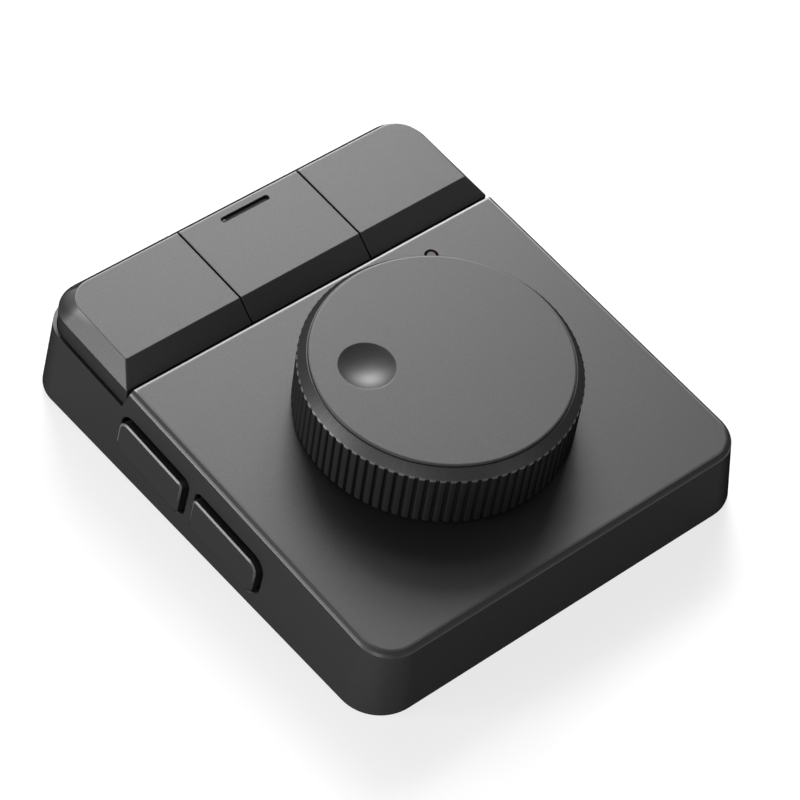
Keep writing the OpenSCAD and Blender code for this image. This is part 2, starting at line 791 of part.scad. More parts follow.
// Hollow under one key's top, between its own walls
module key_hollow(x0, x1) {
    y0 = row_front + key_wall;
    y1 = row_back - key_wall;
    slope = (key_top + key_foot) / key_bevel_side;
    front_slope = (key_top + key_foot) / key_bevel_front;
    end_run = key_wall + (key_under + key_foot) / slope;
    front_run = key_wall + (key_under + key_foot) / front_slope;
    left_top = x0 < -row_half_w + 1 ? x0 + end_run : x0 + key_wall;
    right_top = x1 > row_half_w - 1 ? x1 - end_run : x1 - key_wall;
    left_r = x0 < -row_half_w + 1 ? row_r - key_wall : 0.4;
    right_r = x1 > row_half_w - 1 ? row_r - key_wall : 0.4;
    hull() {
        translate([0, 0, -key_foot]) linear_extrude(slab_t)
            hollow_outline(x0 + key_wall, x1 - key_wall, y0, y1, left_r, right_r);
        translate([0, 0, key_under - slab_t]) linear_extrude(slab_t)
            hollow_outline(left_top, right_top, row_front + front_run, row_back - end_run,
                left_r, right_r);
    }
    translate([0, 0, -key_skirt - 1]) linear_extrude(key_skirt + 1 - key_foot + slab_t)
        hollow_outline(x0 + key_wall, x1 - key_wall, y0, y1, left_r, right_r);
}

// Rectangle whose two back corners have their own radii
module hollow_outline(x0, x1, y0, y1, left_r, right_r) {
    r = max(left_r, right_r);
    translate([x0, y0]) square([x1 - x0, y1 - y0 - r]);
    translate([x0 + left_r, y0]) square([x1 - x0 - left_r - right_r, y1 - y0]);
    translate([x0 + left_r, y1 - left_r]) circle(left_r, $fn = hull_fn);
    translate([x1 - right_r, y1 - right_r]) circle(right_r, $fn = hull_fn);
    if (left_r < r) translate([x0, y0]) square([r, y1 - y0 - left_r]);
    if (right_r < r) translate([x1 - r, y0]) square([r, y1 - y0 - right_r]);
}

function key_x0(side) = side < 0 ? -row_half_w : (side == 0 ? -key_split : key_split) + key_gap / 2;
function key_x1(side) = side > 0 ? row_half_w : (side == 0 ? key_split : -key_split) - key_gap / 2;

module keycap(side) {
    x0 = key_x0(side);
    x1 = key_x1(side);
    color(black_plastic) on_deck() difference() {
        union() {
            difference() {
                intersection() {
                    row_outside();
                    translate([x0, row_front - 1, -key_skirt - 1])
                        cube([x1 - x0, key_l + 2, key_skirt + key_top + 2]);
                }
                key_hollow(x0, x1);
            }
            // Socket for the stem's post
            translate([key_x(side), row_mid, stem_shoulder + 0.1])
                cylinder(r = post_r + 1.2, h = key_under + 0.3 - stem_shoulder - 0.1);
            // Guide pins
            for (x = [-1, 1]) translate([key_x(side) + x * guide_x, row_mid,
                plate_bottom - 0.15]) cylinder(r = guide_r, h = key_under + 0.3 - plate_bottom + 0.15);
        }
        translate([key_x(side), row_mid, stem_shoulder])
            cylinder(r = post_r + run_gap, h = key_under - 0.1 - stem_shoulder);
        if (side == 0) window_hole(0);
    }
}

// Slot of the middle key's light window, shrunk by gap
module window_hole(gap) {
    translate([0, row_back - key_bevel_side - window_inset, key_under - 1])
        linear_extrude(key_t + 2) stadium(window_l - 2 * gap, window_w - 2 * gap);
}

module key_window() {
    top = key_top - window_recess;
    y = row_back - key_bevel_side - window_inset;
    color(light_plastic) on_deck() {
        intersection() {
            window_hole(0.03);
            translate([-window_l, y - window_w, key_under]) cube([2 * window_l, 2 * window_w,
                top - key_under]);
        }
        translate([-(window_l - window_w) / 2, y, top - cut])
            cylinder(r = window_dot_r, h = window_recess / 2 + cut);
    }
}

module status_light_guide() {
    flange_top = -deck_t;
    color(light_plastic) on_deck() translate([light_x, light_y, 0]) {
        translate([0, 0, board_top + 0.7]) cylinder(r = light_r, h = -board_top - 0.8);
        translate([0, 0, flange_top - 0.8]) cylinder(r = light_hole_r + 0.6, h = 0.8);
    }
}

/* Encoder and knob */

module on_knob() {
    on_deck() translate([0, knob_y, 0]) children();
}

module encoder_body() {
    color(steel) on_knob() difference() {
        translate([-encoder_w / 2, -encoder_w / 2, board_top]) cube([encoder_w, encoder_w, encoder_h]);
        translate([0, 0, chamber_floor]) cylinder(r = chamber_r, h = chamber_top - chamber_floor);
        translate([0, 0, chamber_top - cut]) cylinder(r = shaft_r + run_gap, h = 3);
    }
}

module encoder_neck() {
    color(brass) on_knob() translate([0, 0, encoder_top]) difference() {
        cylinder(r = neck_r, h = neck_top - encoder_top);
        translate([0, 0, -cut]) cylinder(r = shaft_r + run_gap, h = neck_top - encoder_top + 1);
    }
}

module encoder_washer() {
    color(steel) on_knob() difference() {
        cylinder(r = nut_af / 2 + 1, h = washer_t);
        translate([0, 0, -cut]) cylinder(r = neck_r + screw_gap, h = washer_t + 1);
    }
}

module encoder_nut() {
    color(steel) on_knob() translate([0, 0, washer_t]) difference() {
        cylinder(r = nut_af / 2 / cos(30), h = nut_t, $fn = 6);
        translate([0, 0, -cut]) cylinder(r = neck_r + run_gap, h = nut_t + 1);
    }
}

module encoder_plunger() {
    h = 0.85;
    color(grip_plastic) on_knob() translate([0, 0, shaft_end - run_gap - h])
        cylinder(r = shaft_r - 0.6, h = h);
}

// Flat of the shaft, from the neck's top upwards
module shaft_section(gap) {
    intersection() {
        circle(shaft_r + gap);
        translate([-shaft_r - 1, -shaft_r - 1]) square([2 * shaft_r + 2, shaft_r * 1.5 + 1 + gap]);
    }
}

module encoder_shaft() {
    flat_from = neck_top + 0.2;
    color(steel) on_knob() {
        translate([0, 0, shaft_end]) cylinder(r = shaft_r, h = flat_from - shaft_end);
        translate([0, 0, flat_from - cut]) linear_extrude(shaft_top - flat_from + cut)
            shaft_section(0);
        translate([0, 0, shaft_end + 0.4]) cylinder(r = rotor_r, h = 1);
    }
}

// The hub joins the shaft to the ribbed grip
module knob_hub() {
    color(grip_plastic) on_knob() difference() {
        union() {
            translate([0, 0, hub_top - hub_disc_t]) cylinder(r = grip_inner_r - face_gap, h = hub_disc_t);
            translate([0, 0, hub_bottom]) cylinder(r = shaft_r + 2.2, h = hub_top - hub_bottom);
        }
        translate([0, 0, hub_bottom - 1]) linear_extrude(shaft_top + 0.15 - hub_bottom + 1)
            shaft_section(0.02);
    }
}

// Outline of the ribbed grip: rounded ribs with narrow grooves between them
module rib_outline() {
    steps = 6;
    function rib_r(t) = knob_r - band_lip - rib_depth * pow(abs(2 * t - 1), 4);
    polygon([for (i = [0 : rib_count - 1], s = [0 : steps - 1])
        let (a = 360 * (i + s / steps) / rib_count, r = rib_r(s / steps))
        [r * cos(a), r * sin(a)]]);
}

module knob_ring() {
    band_top = knob_h - band_drop;
    band_r = face_r + face_gap + 0.15;
    color(grip_plastic) on_knob() difference() {
        union() {
            translate([0, 0, knob_gap]) linear_extrude(rib_top - knob_gap) rib_outline();
            rotate_extrude()
                polygon([[0, rib_top], [knob_r, rib_top], [band_r, band_top], [0, band_top]]);
        }
        translate([0, 0, knob_gap - 1]) cylinder(r = grip_inner_r, h = knob_h);
        translate([0, 0, knob_h - face_t]) cylinder(r = face_r + face_gap, h = face_t);
    }
}

module knob_face() {
    sphere_r = (dimple_r * dimple_r + dimple_depth * dimple_depth) / (2 * dimple_depth);
    color(black_plastic) on_knob() difference() {
        rotate_extrude() polygon([[0, knob_h - face_t], [face_r, knob_h - face_t],
            [face_r, knob_h - face_chamfer], [face_r - face_chamfer, knob_h], [0, knob_h]]);
        rotate([0, 0, dimple_angle])
            translate([dimple_offset, 0, knob_h - dimple_depth + sphere_r]) sphere(sphere_r);
    }
}

/* Side buttons */

module side_board() {
    front = side_screw_ys[0] - 1.8;
    rear = button_ys[1] + tact_w / 2 + 2;
    color(board_green) on_side(button_ys[0]) difference() {
        translate([-tact_w / 2 - 1.6, front - button_ys[0], side_board_back])
            cube([tact_w + 1.7, rear - front, side_board_t]);
        for (y = side_screw_ys) translate([0, y - button_ys[0], side_board_back - 1])
            cylinder(r = side_screw_r + 0.3, h = side_board_t + 2);
    }
}

module side_board_screws() {
    head_h = 0.6;
    color(steel) for (y = side_screw_ys) on_side(y) translate([0, 0, side_board_back - 0.3]) {
        translate([0, 0, -head_h]) cylinder(r = side_screw_r + head_h, h = head_h);
        cylinder(r = side_screw_r, h = side_board_t + 2.4);
    }
}

// Pin header that joins the side board to the main board
module side_header() {
    y = side_mid_y + side_boss_r + header_l / 2 + 0.7;
    pitch = header_l / 4;
    w = 2.4;
    h = 1.6;
    pin_r = 0.25;
    pin_l = 1;
    color(grip_plastic) on_deck() {
        translate([-board_half_w + 0.2, y - header_l / 2, board_top]) cube([w, header_l, h]);
        for (i = [-1.5 : 1 : 1.5])
            translate([-board_half_w + 0.6 - pin_l, y + pitch * i, board_top + h / 2])
                rotate([0, 90, 0]) cylinder(r = pin_r, h = pin_l);
    }
}

module side_switch(y) {
    color(grip_plastic) on_side(y) difference() {
        translate([-tact_w / 2, -tact_w / 2, tact_bottom]) cube([tact_w, tact_w, tact_h]);
        translate([0, 0, tact_bottom + 0.3])
            cylinder(r = side_plunger_r + run_gap, h = tact_h);
    }
}

module side_plunger(y) {
    bottom = tact_bottom + 0.35 + button_travel;
    color(light_plastic) on_side(y) translate([0, 0, bottom])
        cylinder(r = side_plunger_r, h = plunger_top - bottom);
}

module side_button(y, rear) {
    color(black_plastic) on_side(y) {
        hull() {
            translate([0, 0, flange_outer]) linear_extrude(button_proud - button_edge - flange_outer)
                button_outline(rear, 0, $fn = hull_fn);
            translate([0, 0, button_proud - slab_t]) linear_extrude(slab_t)
                button_outline(rear, -button_edge, $fn = hull_fn);
        }
        flange_h = button_h + 2 * button_gap + 0.8;
        flange_l = button_l - 4;
        translate([-flange_h / 2, -flange_l / 2, flange_inner])
            cube([flange_h, flange_l, flange_outer - flange_inner + cut]);
        translate([0, 0, plunger_top])
            cylinder(r = side_plunger_r + 0.3, h = flange_inner - plunger_top + cut);
    }
}

/* Socket, power switch and battery */

module usb_shell() {
    mouth = back_y(-usb_z) - usb_recess;
    color(steel) on_deck() translate([0, mouth, usb_z]) rotate([90, 0, 0]) difference() {
        linear_extrude(usb_l) stadium(usb_w, usb_h);
        translate([0, 0, -cut]) linear_extrude(usb_l - usb_back_t + cut)
            stadium(usb_w - 2 * usb_shell_t, usb_h - 2 * usb_shell_t);
    }
}

module usb_tongue() {
    mouth = back_y(-usb_z) - usb_recess;
    color(grip_plastic) on_deck() translate([0, mouth - usb_l + usb_back_t, usb_z]) {
        translate([-tongue_w / 2, 0, -tongue_t / 2]) cube([tongue_w, usb_l - 1.8, tongue_t]);
        translate([-tongue_w / 2, 0, -tongue_root_t / 2]) cube([tongue_w, 1.6, tongue_root_t]);
    }
}

// The power switch's case: a chamber for the shuttle, open to the back for its lever
module power_switch() {
    side_t = power_case_t + 0.2;
    slot_w = lever_w + slider_travel + 0.4;
    slot_h = lever_h + 0.16;
    color(steel) on_deck() translate([slider_x, power_front, power_z]) difference() {
        translate([-power_w / 2, 0, -power_h / 2]) cube([power_w, power_depth, power_h]);
        translate([-power_w / 2 + side_t, shuttle_front - 0.1, -power_h / 2 + power_case_t])
            cube([power_w - 2 * side_t, shuttle_l + 0.3, power_h - 2 * power_case_t]);
        translate([-slot_w / 2, 1, -slot_h / 2]) cube([slot_w, power_depth, slot_h]);
    }
}

module power_slider() {
    shuttle_w = 3.6;
    shuttle_h = power_h - 2 * power_case_t - 0.2;
    lever_front = shuttle_front + shuttle_l - 0.1;
    reach = back_y(-power_z) + lever_proud - power_front - lever_front;
    color(grip_plastic) on_deck() translate([slider_x - slider_travel / 2, power_front, power_z]) {
        translate([-shuttle_w / 2, shuttle_front, -shuttle_h / 2])
            cube([shuttle_w, shuttle_l, shuttle_h]);
        translate([-lever_w / 2, lever_front, -lever_h / 2]) cube([lever_w, reach, lever_h]);
    }
}

module battery() {
    color(wrap_silver) translate([0, battery_y + battery_l / 2, cover_top + pad_t])
        linear_extrude(battery_t) rounded_rect(battery_w, battery_l, 1.2);
}

module battery_pad() {
    color(rubber_black) translate([-battery_w / 2 + 3, battery_y + 3, cover_top])
        cube([battery_w - 6, battery_l - 6, pad_t]);
}

module battery_socket() {
    y = battery_lead_y + battery_y;
    size = [3, 5, 2.2];
    color(light_plastic) on_deck()
        translate([battery_w / 2 + lead_l, (y - deck_y0) / cos(wedge) - 3, board_bottom - size[2]])
            cube(size);
}

module battery_leads() {
    lead_r = 0.4;
    z = cover_top + pad_t + battery_t - lead_r - 0.3;
    for (i = [0, 1]) color(i == 0 ? "firebrick" : "black")
        translate([battery_w / 2, battery_y + battery_lead_y - 1.2 + 1.4 * i, z])
            rotate([0, 90, 0]) cylinder(r = lead_r, h = lead_l);
}

housing();
bottom_cover();
rubber_feet();
case_screws();
main_board();
board_screws();
board_lights();
controller_chip();
radio_module();
key_plate();
key_plate_screws();
key_switch(-1);  // key_switch_left
key_switch(0);  // key_switch_middle
key_switch(1);  // key_switch_right
key_spring(-1);  // key_spring_left
key_spring(0);  // key_spring_middle
key_spring(1);  // key_spring_right
key_stem(-1);  // key_stem_left
key_stem(0);  // key_stem_middle
key_stem(1);  // key_stem_right
keycap(-1);  // keycap_left
keycap(0);  // keycap_middle
keycap(1);  // keycap_right
key_window();
status_light_guide();
encoder_body();
encoder_neck();
encoder_washer();
encoder_nut();
encoder_plunger();
encoder_shaft();
knob_hub();
knob_ring();
knob_face();
side_board();
side_board_screws();
side_header();
side_switch(button_ys[0]);  // side_switch_front
side_switch(button_ys[1]);  // side_switch_rear
side_plunger(button_ys[0]);  // side_plunger_front
side_plunger(button_ys[1]);  // side_plunger_rear
side_button(button_ys[0], false);  // side_button_front
side_button(button_ys[1], true);  // side_button_rear
usb_shell();
usb_tongue();
power_switch();
power_slider();
battery();
battery_pad();
battery_socket();
battery_leads();
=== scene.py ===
"""Visual model of a wedge-shaped macro keypad with a large knob.

Lengths are millimetres until a mesh is finished, and metres in Blender. The deck frame lies on the
sloping deck: x runs across, y up the slope from the deck's front edge, and z off the surface.
"""

import json
import logging
import math
from dataclasses import dataclass, field
from enum import Enum
from typing import Callable, Sequence

import bmesh
import bpy
from mathutils import Matrix, Vector


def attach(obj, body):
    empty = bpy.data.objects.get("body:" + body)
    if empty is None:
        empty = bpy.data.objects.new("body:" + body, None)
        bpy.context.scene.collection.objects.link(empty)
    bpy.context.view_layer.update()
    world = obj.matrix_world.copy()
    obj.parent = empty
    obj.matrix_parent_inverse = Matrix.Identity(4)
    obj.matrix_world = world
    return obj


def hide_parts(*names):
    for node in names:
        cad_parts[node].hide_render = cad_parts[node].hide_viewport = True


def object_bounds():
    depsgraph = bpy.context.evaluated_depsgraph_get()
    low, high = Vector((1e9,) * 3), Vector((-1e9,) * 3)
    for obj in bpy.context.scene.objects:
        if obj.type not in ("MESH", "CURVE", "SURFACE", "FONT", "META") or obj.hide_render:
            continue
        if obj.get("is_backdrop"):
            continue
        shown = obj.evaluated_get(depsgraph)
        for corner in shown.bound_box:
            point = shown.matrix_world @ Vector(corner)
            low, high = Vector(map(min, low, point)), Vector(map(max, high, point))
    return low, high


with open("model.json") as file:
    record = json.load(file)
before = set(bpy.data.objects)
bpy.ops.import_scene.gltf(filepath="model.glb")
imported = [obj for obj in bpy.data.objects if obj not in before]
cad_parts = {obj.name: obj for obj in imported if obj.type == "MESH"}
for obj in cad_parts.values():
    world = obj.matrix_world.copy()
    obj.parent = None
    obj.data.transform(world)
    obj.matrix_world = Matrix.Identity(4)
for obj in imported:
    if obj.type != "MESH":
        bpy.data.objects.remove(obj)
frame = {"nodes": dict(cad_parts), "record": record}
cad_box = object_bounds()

LOG = logging.getLogger("keypad")
# Vertex marks that make a piece shine more, and on the grip also lighten its colour as a painted
# highlight.
GLOSS_AND_HIGHLIGHT = "gloss_and_painted_highlight"
MM = 0.001
SHARP_ANGLE = math.radians(32.0)
BLACK = (0.018, 0.018, 0.0183)
EDGE = 0.12
POST_STEPS = 24
WHITE = (1.0, 1.0, 1.0, 1.0)
PART_FRAME = Matrix.Identity(4).freeze()

Point2 = tuple[float, float]
Colour = tuple[float, float, float]
Ring = list[Vector]
Piece = bpy.types.Object
Vert = bpy.types.MeshVertex
Material = bpy.types.Material
Tree = bpy.types.NodeTree
Socket = bpy.types.NodeSocket


class Side(Enum):
    """The side of the keypad that a key or a corner belongs to."""

    LEFT = -1
    MIDDLE = 0
    RIGHT = 1


class End(Enum):
    """Which of the two side buttons is meant."""

    FRONT = -1
    REAR = 1


# ---- outlines and meshes


def outline(
    low: Point2, high: Point2, radii: Sequence[float], corner_steps: int = 8, side_steps: int = 1
) -> list[Point2]:
    """Rounded rectangle, counter-clockwise from its front right corner.

    Args:
        low: The corner with the least x and y.
        high: The corner with the most x and y.
        radii: Corner radii: front right, back right, back left, front left.
        corner_steps: Segments in each corner.
        side_steps: Segments along each straight side.

    Returns:
        The outline's points, without repeating the first.
    """
    (x0, y0), (x1, y1) = low, high
    signs = ((1, -1), (1, 1), (-1, 1), (-1, -1))
    arcs: list[list[Point2]] = []
    for index, ((sx, sy), r) in enumerate(zip(signs, radii)):
        cx = (x1 - r) if sx > 0 else (x0 + r)
        cy = (y1 - r) if sy > 0 else (y0 + r)
        steps = [index - 1 + i / corner_steps for i in range(corner_steps + 1)]
        angles = [math.radians(90.0 * step) for step in steps]
        arcs.append([(cx + r * math.cos(a), cy + r * math.sin(a)) for a in angles])
    points: list[Point2] = []
    for index, arc in enumerate(arcs):
        points.extend(arc)
        (ax, ay), (bx, by) = arc[-1], arcs[(index + 1) % 4][0]
        for i in range(1, side_steps):
            t = i / side_steps
            points.append((ax + (bx - ax) * t, ay + (by - ay) * t))
    return points


def slot(x: float, y: float, length: float, width: float) -> list[Point2]:
    """Outline of a slot with round ends, along x, about a middle point."""
    far, side = length / 2, width / 2
    return outline((x - far, y - side), (x + far, y + side), [side * 0.999] * 4, 10)


def round_corner(
    before: Point2, corner: Point2, after: Point2, radius: float, steps: int
) -> list[Point2]:
    """Arc that rounds one corner of a profile.

    Args:
        before: A point on the line into the corner.
        corner: The sharp corner.
        after: A point on the line out of it.
        radius: Radius of the arc.
        steps: Segments in the arc.

    Returns:
        The arc's points, from the first line to the second.
    """
    c = Vector(corner)
    u = (Vector(before) - c).normalized()
    v = (Vector(after) - c).normalized()
    half = u.angle(v) / 2.0
    centre = c + (u + v).normalized() * (radius / math.sin(half))
    start = c + u * (radius / math.tan(half)) - centre
    end = c + v * (radius / math.tan(half)) - centre
    sweep = start.angle(end)
    points = []
    for i in range(steps + 1):
        first, second = math.sin((1 - i / steps) * sweep), math.sin(i / steps * sweep)
        p = centre + (start * first + end * second) / math.sin(sweep)
        points.append((p.x, p.y))
    return points


def inner_row(flat: Point2, low: Point2) -> Point2:
    """Point a tenth of the way down a narrow facet, from its flat end to its low end."""
    return (flat[0] + 0.1 * (low[0] - flat[0]), flat[1] + 0.1 * (low[1] - flat[1]))


def at(z: float, plan: Sequence[Point2]) -> Ring:
    """Ring that runs along a plan at one height."""
    return [Vector((x, y, z)) for x, y in plan]


def circle(x: float, y: float, radius: float, z: float, steps: int) -> Ring:
    """Level ring round a point."""
    angles = [2.0 * math.pi * i / steps for i in range(steps)]
    return [Vector((x + radius * math.cos(a), y + radius * math.sin(a), z)) for a in angles]


def linked(name: str, data: bpy.types.ID) -> Piece:
    """Makes an object of some data and links it to the scene.

    Args:
        name: The object's name.
        data: Its mesh, light or camera.

    Returns:
        The object.
    """
    made = bpy.data.objects.new(name, data)
    bpy.context.scene.collection.objects.link(made)
    return made


@dataclass
class Solid:
    """Collects the faces of one closed mesh; matrix takes its points to the part's millimetres."""

    name: str
    matrix: Matrix = PART_FRAME
    bm: bmesh.types.BMesh = field(default_factory=bmesh.new)

    def loft(self, rings: Sequence[Ring], loop: bool = False) -> "Solid":
        """Joins rings of equal count into a closed surface.

        Args:
            rings: The rings, each counter-clockwise seen from the last one.
            loop: Whether the last ring joins the first one, so that neither is filled.

        Returns:
            The solid itself.
        """
        made = [[self.bm.verts.new(self.matrix @ p) for p in points] for points in rings]
        for lower, upper in zip(made, made[1:] + made[:1] if loop else made[1:]):
            for i, corner in enumerate(lower):
                j = (i + 1) % len(lower)
                self.bm.faces.new((corner, lower[j], upper[j], upper[i]))
        if not loop:
            self.bm.faces.new(made[0][::-1])
            self.bm.faces.new(made[-1])
        return self

    def post(self, x: float, y: float, low: float, high: float, radius: float) -> None:
        """Adds an upright cylinder with a small chamfer at both ends."""
        levels = ((low, EDGE), (low + EDGE, 0.0), (high - EDGE, 0.0), (high, EDGE))
        self.loft([circle(x, y, radius - inset, z, POST_STEPS) for z, inset in levels])

    def build(self) -> Piece:
        """Makes the object, still in millimetres, and links it to the scene.

        Returns:
            The object.
        """
        bmesh.ops.recalc_face_normals(self.bm, faces=self.bm.faces)
        mesh = bpy.data.meshes.new(self.name)
        self.bm.to_mesh(mesh)
        self.bm.free()
        return linked(self.name, mesh)


def carve(target: Piece, cutters: Sequence[Piece]) -> None:
    """Cuts closed cutters out of an object and keeps the result as its mesh.

    Args:
        target: The object to cut.
        cutters: The objects to cut away; they are deleted.
    """
    for cutter in cutters:
        modifier = target.modifiers.new("cut", "BOOLEAN")
        modifier.operation = "DIFFERENCE"
        modifier.solver = "EXACT"
        modifier.object = cutter
    bpy.context.view_layer.update()
    graph = bpy.context.evaluated_depsgraph_get()
    mesh = bpy.data.meshes.new_from_object(target.evaluated_get(graph))
    target.modifiers.clear()
    target.data = mesh
    mesh.name = target.name
    for cutter in cutters:
        bpy.data.objects.remove(cutter)


def mark_gloss_and_highlight(piece: Piece, gloss_and_highlight: Callable[[Vert], float]) -> None:
    """Marks the parts that moulds and hands leave smoother than the rest; where a finish has a
    painted highlight, the mark also lightens the colour there.

    Args:
        piece: The object, in millimetres.
        gloss_and_highlight: Gives how smooth the piece is at a vertex, from 0 to 1, which also
            scales any painted highlight there.
    """
    marks = piece.data.attributes.new(GLOSS_AND_HIGHLIGHT, "FLOAT", "POINT")
    for vert, mark in zip(piece.data.vertices, marks.data):
        mark.value = gloss_and_highlight(vert)


# ---- shader node groups


@dataclass
class Wires:
    """Adds and joins nodes of one node tree."""

    tree: Tree

    def feed(self, node: bpy.types.Node, values: dict[str | int, object]) -> None:
        """Sets or links inputs of a node.

        Args:
            node: The node.
            values: A number, a colour or an output socket for each input, by its name or place.
        """
        for key, value in values.items():
            if isinstance(value, Socket):
                self.tree.links.new(value, node.inputs[key])
            else:
                node.inputs[key].default_value = value

    def node(
        self, kind: str, values: dict[str | int, object] | None = None, **settings: object
    ) -> bpy.types.Node:
        """Adds a node.

        Args:
            kind: The node's type name.
            values: What its inputs get, as feed takes it.
            **settings: Properties of the node, by name.

        Returns:
            The node.
        """
        made = self.tree.nodes.new(kind)
        for key, value in settings.items():
            setattr(made, key, value)
        self.feed(made, values or {})
        return made

    def place(self) -> Socket:
        """Adds a node that gives the object's own coordinates, and returns its output."""
        return self.node("ShaderNodeTexCoord").outputs["Object"]

    def bump(self, height: Socket, distance: float) -> Socket:
        """Adds a Bump node, and returns the normals that it gives."""
        values = {"Height": height, "Distance": distance}
        return self.node("ShaderNodeBump", values).outputs["Normal"]

    def math(self, operation: str, first: object, second: object) -> Socket:
        """Adds a Math node on two numbers or outputs, and returns its output."""
        return self.node("ShaderNodeMath", {0: first, 1: second}, operation=operation).outputs[0]

    def span(self, value: Socket, source: Point2, target: Point2 = (0.0, 1.0)) -> Socket:
        """Adds a Map Range node from one range to another, and returns its output."""
        values = dict(enumerate((value, *source, *target)))
        return self.node("ShaderNodeMapRange", values).outputs["Result"]


def new_group(
    name: str, inputs: dict[str, object], outputs: Sequence[str]
) -> tuple[Wires, bpy.types.NodeOutputs, bpy.types.Node]:
    """Makes an empty shader node group with its sockets.

    Args:
        name: The group's name.
        inputs: Default value by input name; a tuple makes a colour.
        outputs: Names of the outputs; the one called Colour is a colour.

    Returns:
        The group's wires, the values that come in and the node that takes those that go out.
    """
    tree = bpy.data.node_groups.new(name, "ShaderNodeTree")
    for label, value in inputs.items():
        kind = "NodeSocketColor" if isinstance(value, tuple) else "NodeSocketFloat"
        socket = tree.interface.new_socket(name=label, in_out="INPUT", socket_type=kind)
        socket.default_value = value
    for label in outputs:
        kind = "NodeSocketColor" if label == "Colour" else "NodeSocketFloat"
        tree.interface.new_socket(name=label, in_out="OUTPUT", socket_type=kind)
    wires = Wires(tree)
    return wires, wires.node("NodeGroupInput").outputs, wires.node("NodeGroupOutput")


class Effects:
    """The shader node groups that the finishes share, each built once."""

    def __init__(self) -> None:
        """Builds every group."""
        self.grain = self._grain()
        self.tone = self._tone()
        self.edge = self._edge()

    def _grain(self) -> Tree:
        """Fine spark-eroded texture: rounded pits with a finer roughness over them.

        Returns:
            A group with inputs Scale and Fineness, and outputs Height and Pits.
        """
        inputs = {"Scale": 6000.0, "Fineness": 0.4}
        wires, given, out = new_group("moulded_grain", inputs, ("Height", "Pits"))
        place = wires.place()
        values = {"Vector": place, "Scale": given["Scale"], "Smoothness": 0.6}
        pits = wires.node("ShaderNodeTexVoronoi", values, feature="SMOOTH_F1")
        scale = wires.math("MULTIPLY", given["Scale"], 1.7)
        fine = wires.node("ShaderNodeTexNoise", {"Vector": place, "Scale": scale, "Detail": 3.0})
        depth = wires.span(pits.outputs["Distance"], (0.05, 0.65))
        noise = wires.math("MULTIPLY", fine.outputs["Fac"], given["Fineness"])
        wires.feed(out, {"Height": wires.math("ADD", depth, noise), "Pits": depth})
        return wires.tree

    def _tone(self) -> Tree:
        """Slow drift of colour and gloss, with faint specks, as a moulding has.

        Returns:
            A group with inputs Colour, Roughness, Drift and Specks, and outputs Colour and
            Roughness.
        """
        inputs = {"Colour": (0.1, 0.1, 0.1, 1.0), "Roughness": 0.5, "Drift": 0.05, "Specks": 0.05}
        wires, given, out = new_group("tone_drift", inputs, ("Colour", "Roughness"))
        place = wires.place()
        slow = wires.node("ShaderNodeTexNoise", {"Vector": place, "Scale": 55.0, "Detail": 4.0})
        swing = wires.span(slow.outputs["Fac"], (0.3, 0.7), (-1.0, 1.0))
        quick = wires.node("ShaderNodeTexNoise", {"Vector": place, "Scale": 3400.0, "Detail": 1.0})
        speck = wires.span(quick.outputs["Fac"], (0.56, 0.74))
        gain = wires.math("MULTIPLY", swing, given["Drift"])
        light = wires.math("MULTIPLY", speck, given["Specks"])
        factor = wires.math("ADD", wires.math("ADD", gain, light), 1.0)
        values = {0: given["Colour"], "Scale": factor}
        colour = wires.node("ShaderNodeVectorMath", values, operation="SCALE").outputs[0]
        rough = wires.math("ADD", given["Roughness"], wires.math("MULTIPLY", swing, 0.025))
        wires.feed(out, {"Colour": colour, "Roughness": rough})
        return wires.tree

    def _edge(self) -> Tree:
        """Mask of the edges that hands and tools have polished.

        Returns:
            A group with input Width in metres and output Mask.
        """
        wires, given, out = new_group("edge_polish", {"Width": 0.0004}, ("Mask",))
        rounded = wires.node("ShaderNodeBevel", {"Radius": given["Width"]}, samples=4)
        surface = wires.node("ShaderNodeNewGeometry")
        values = {0: rounded.outputs["Normal"], 1: surface.outputs["Normal"]}
        match = wires.node("ShaderNodeVectorMath", values, operation="DOT_PRODUCT")
        wires.feed(out, {"Mask": wires.span(match.outputs["Value"], (0.995, 0.9))})
        return wires.tree


# ---- finishes


@dataclass(frozen=True)
class Finish:
    """What every finish has: its slot's name, a colour and a roughness."""

    name: str
    colour: Colour
    roughness: float = 0.5

    def start(
        self, effects: Effects, drift: float, specks: float
    ) -> tuple[Material, Wires, bpy.types.Node, bpy.types.NodeOutputs]:
        """Makes the material and the slow drift of its tone.

        Args:
            effects: The shared node groups.
            drift: How far the colour drifts.
            specks: How light the specks are.

        Returns:
            The material, its wires, its shader, and the tone's Colour and Roughness.
        """
        material, wires, shader = plain_material(self.name)
        values = {"Colour": (*self.colour, 1.0), "Roughness": self.roughness}
        values |= {"Drift": drift, "Specks": specks}
        tone = wires.node("ShaderNodeGroup", values, node_tree=effects.tone)
        return material, wires, shader, tone.outputs


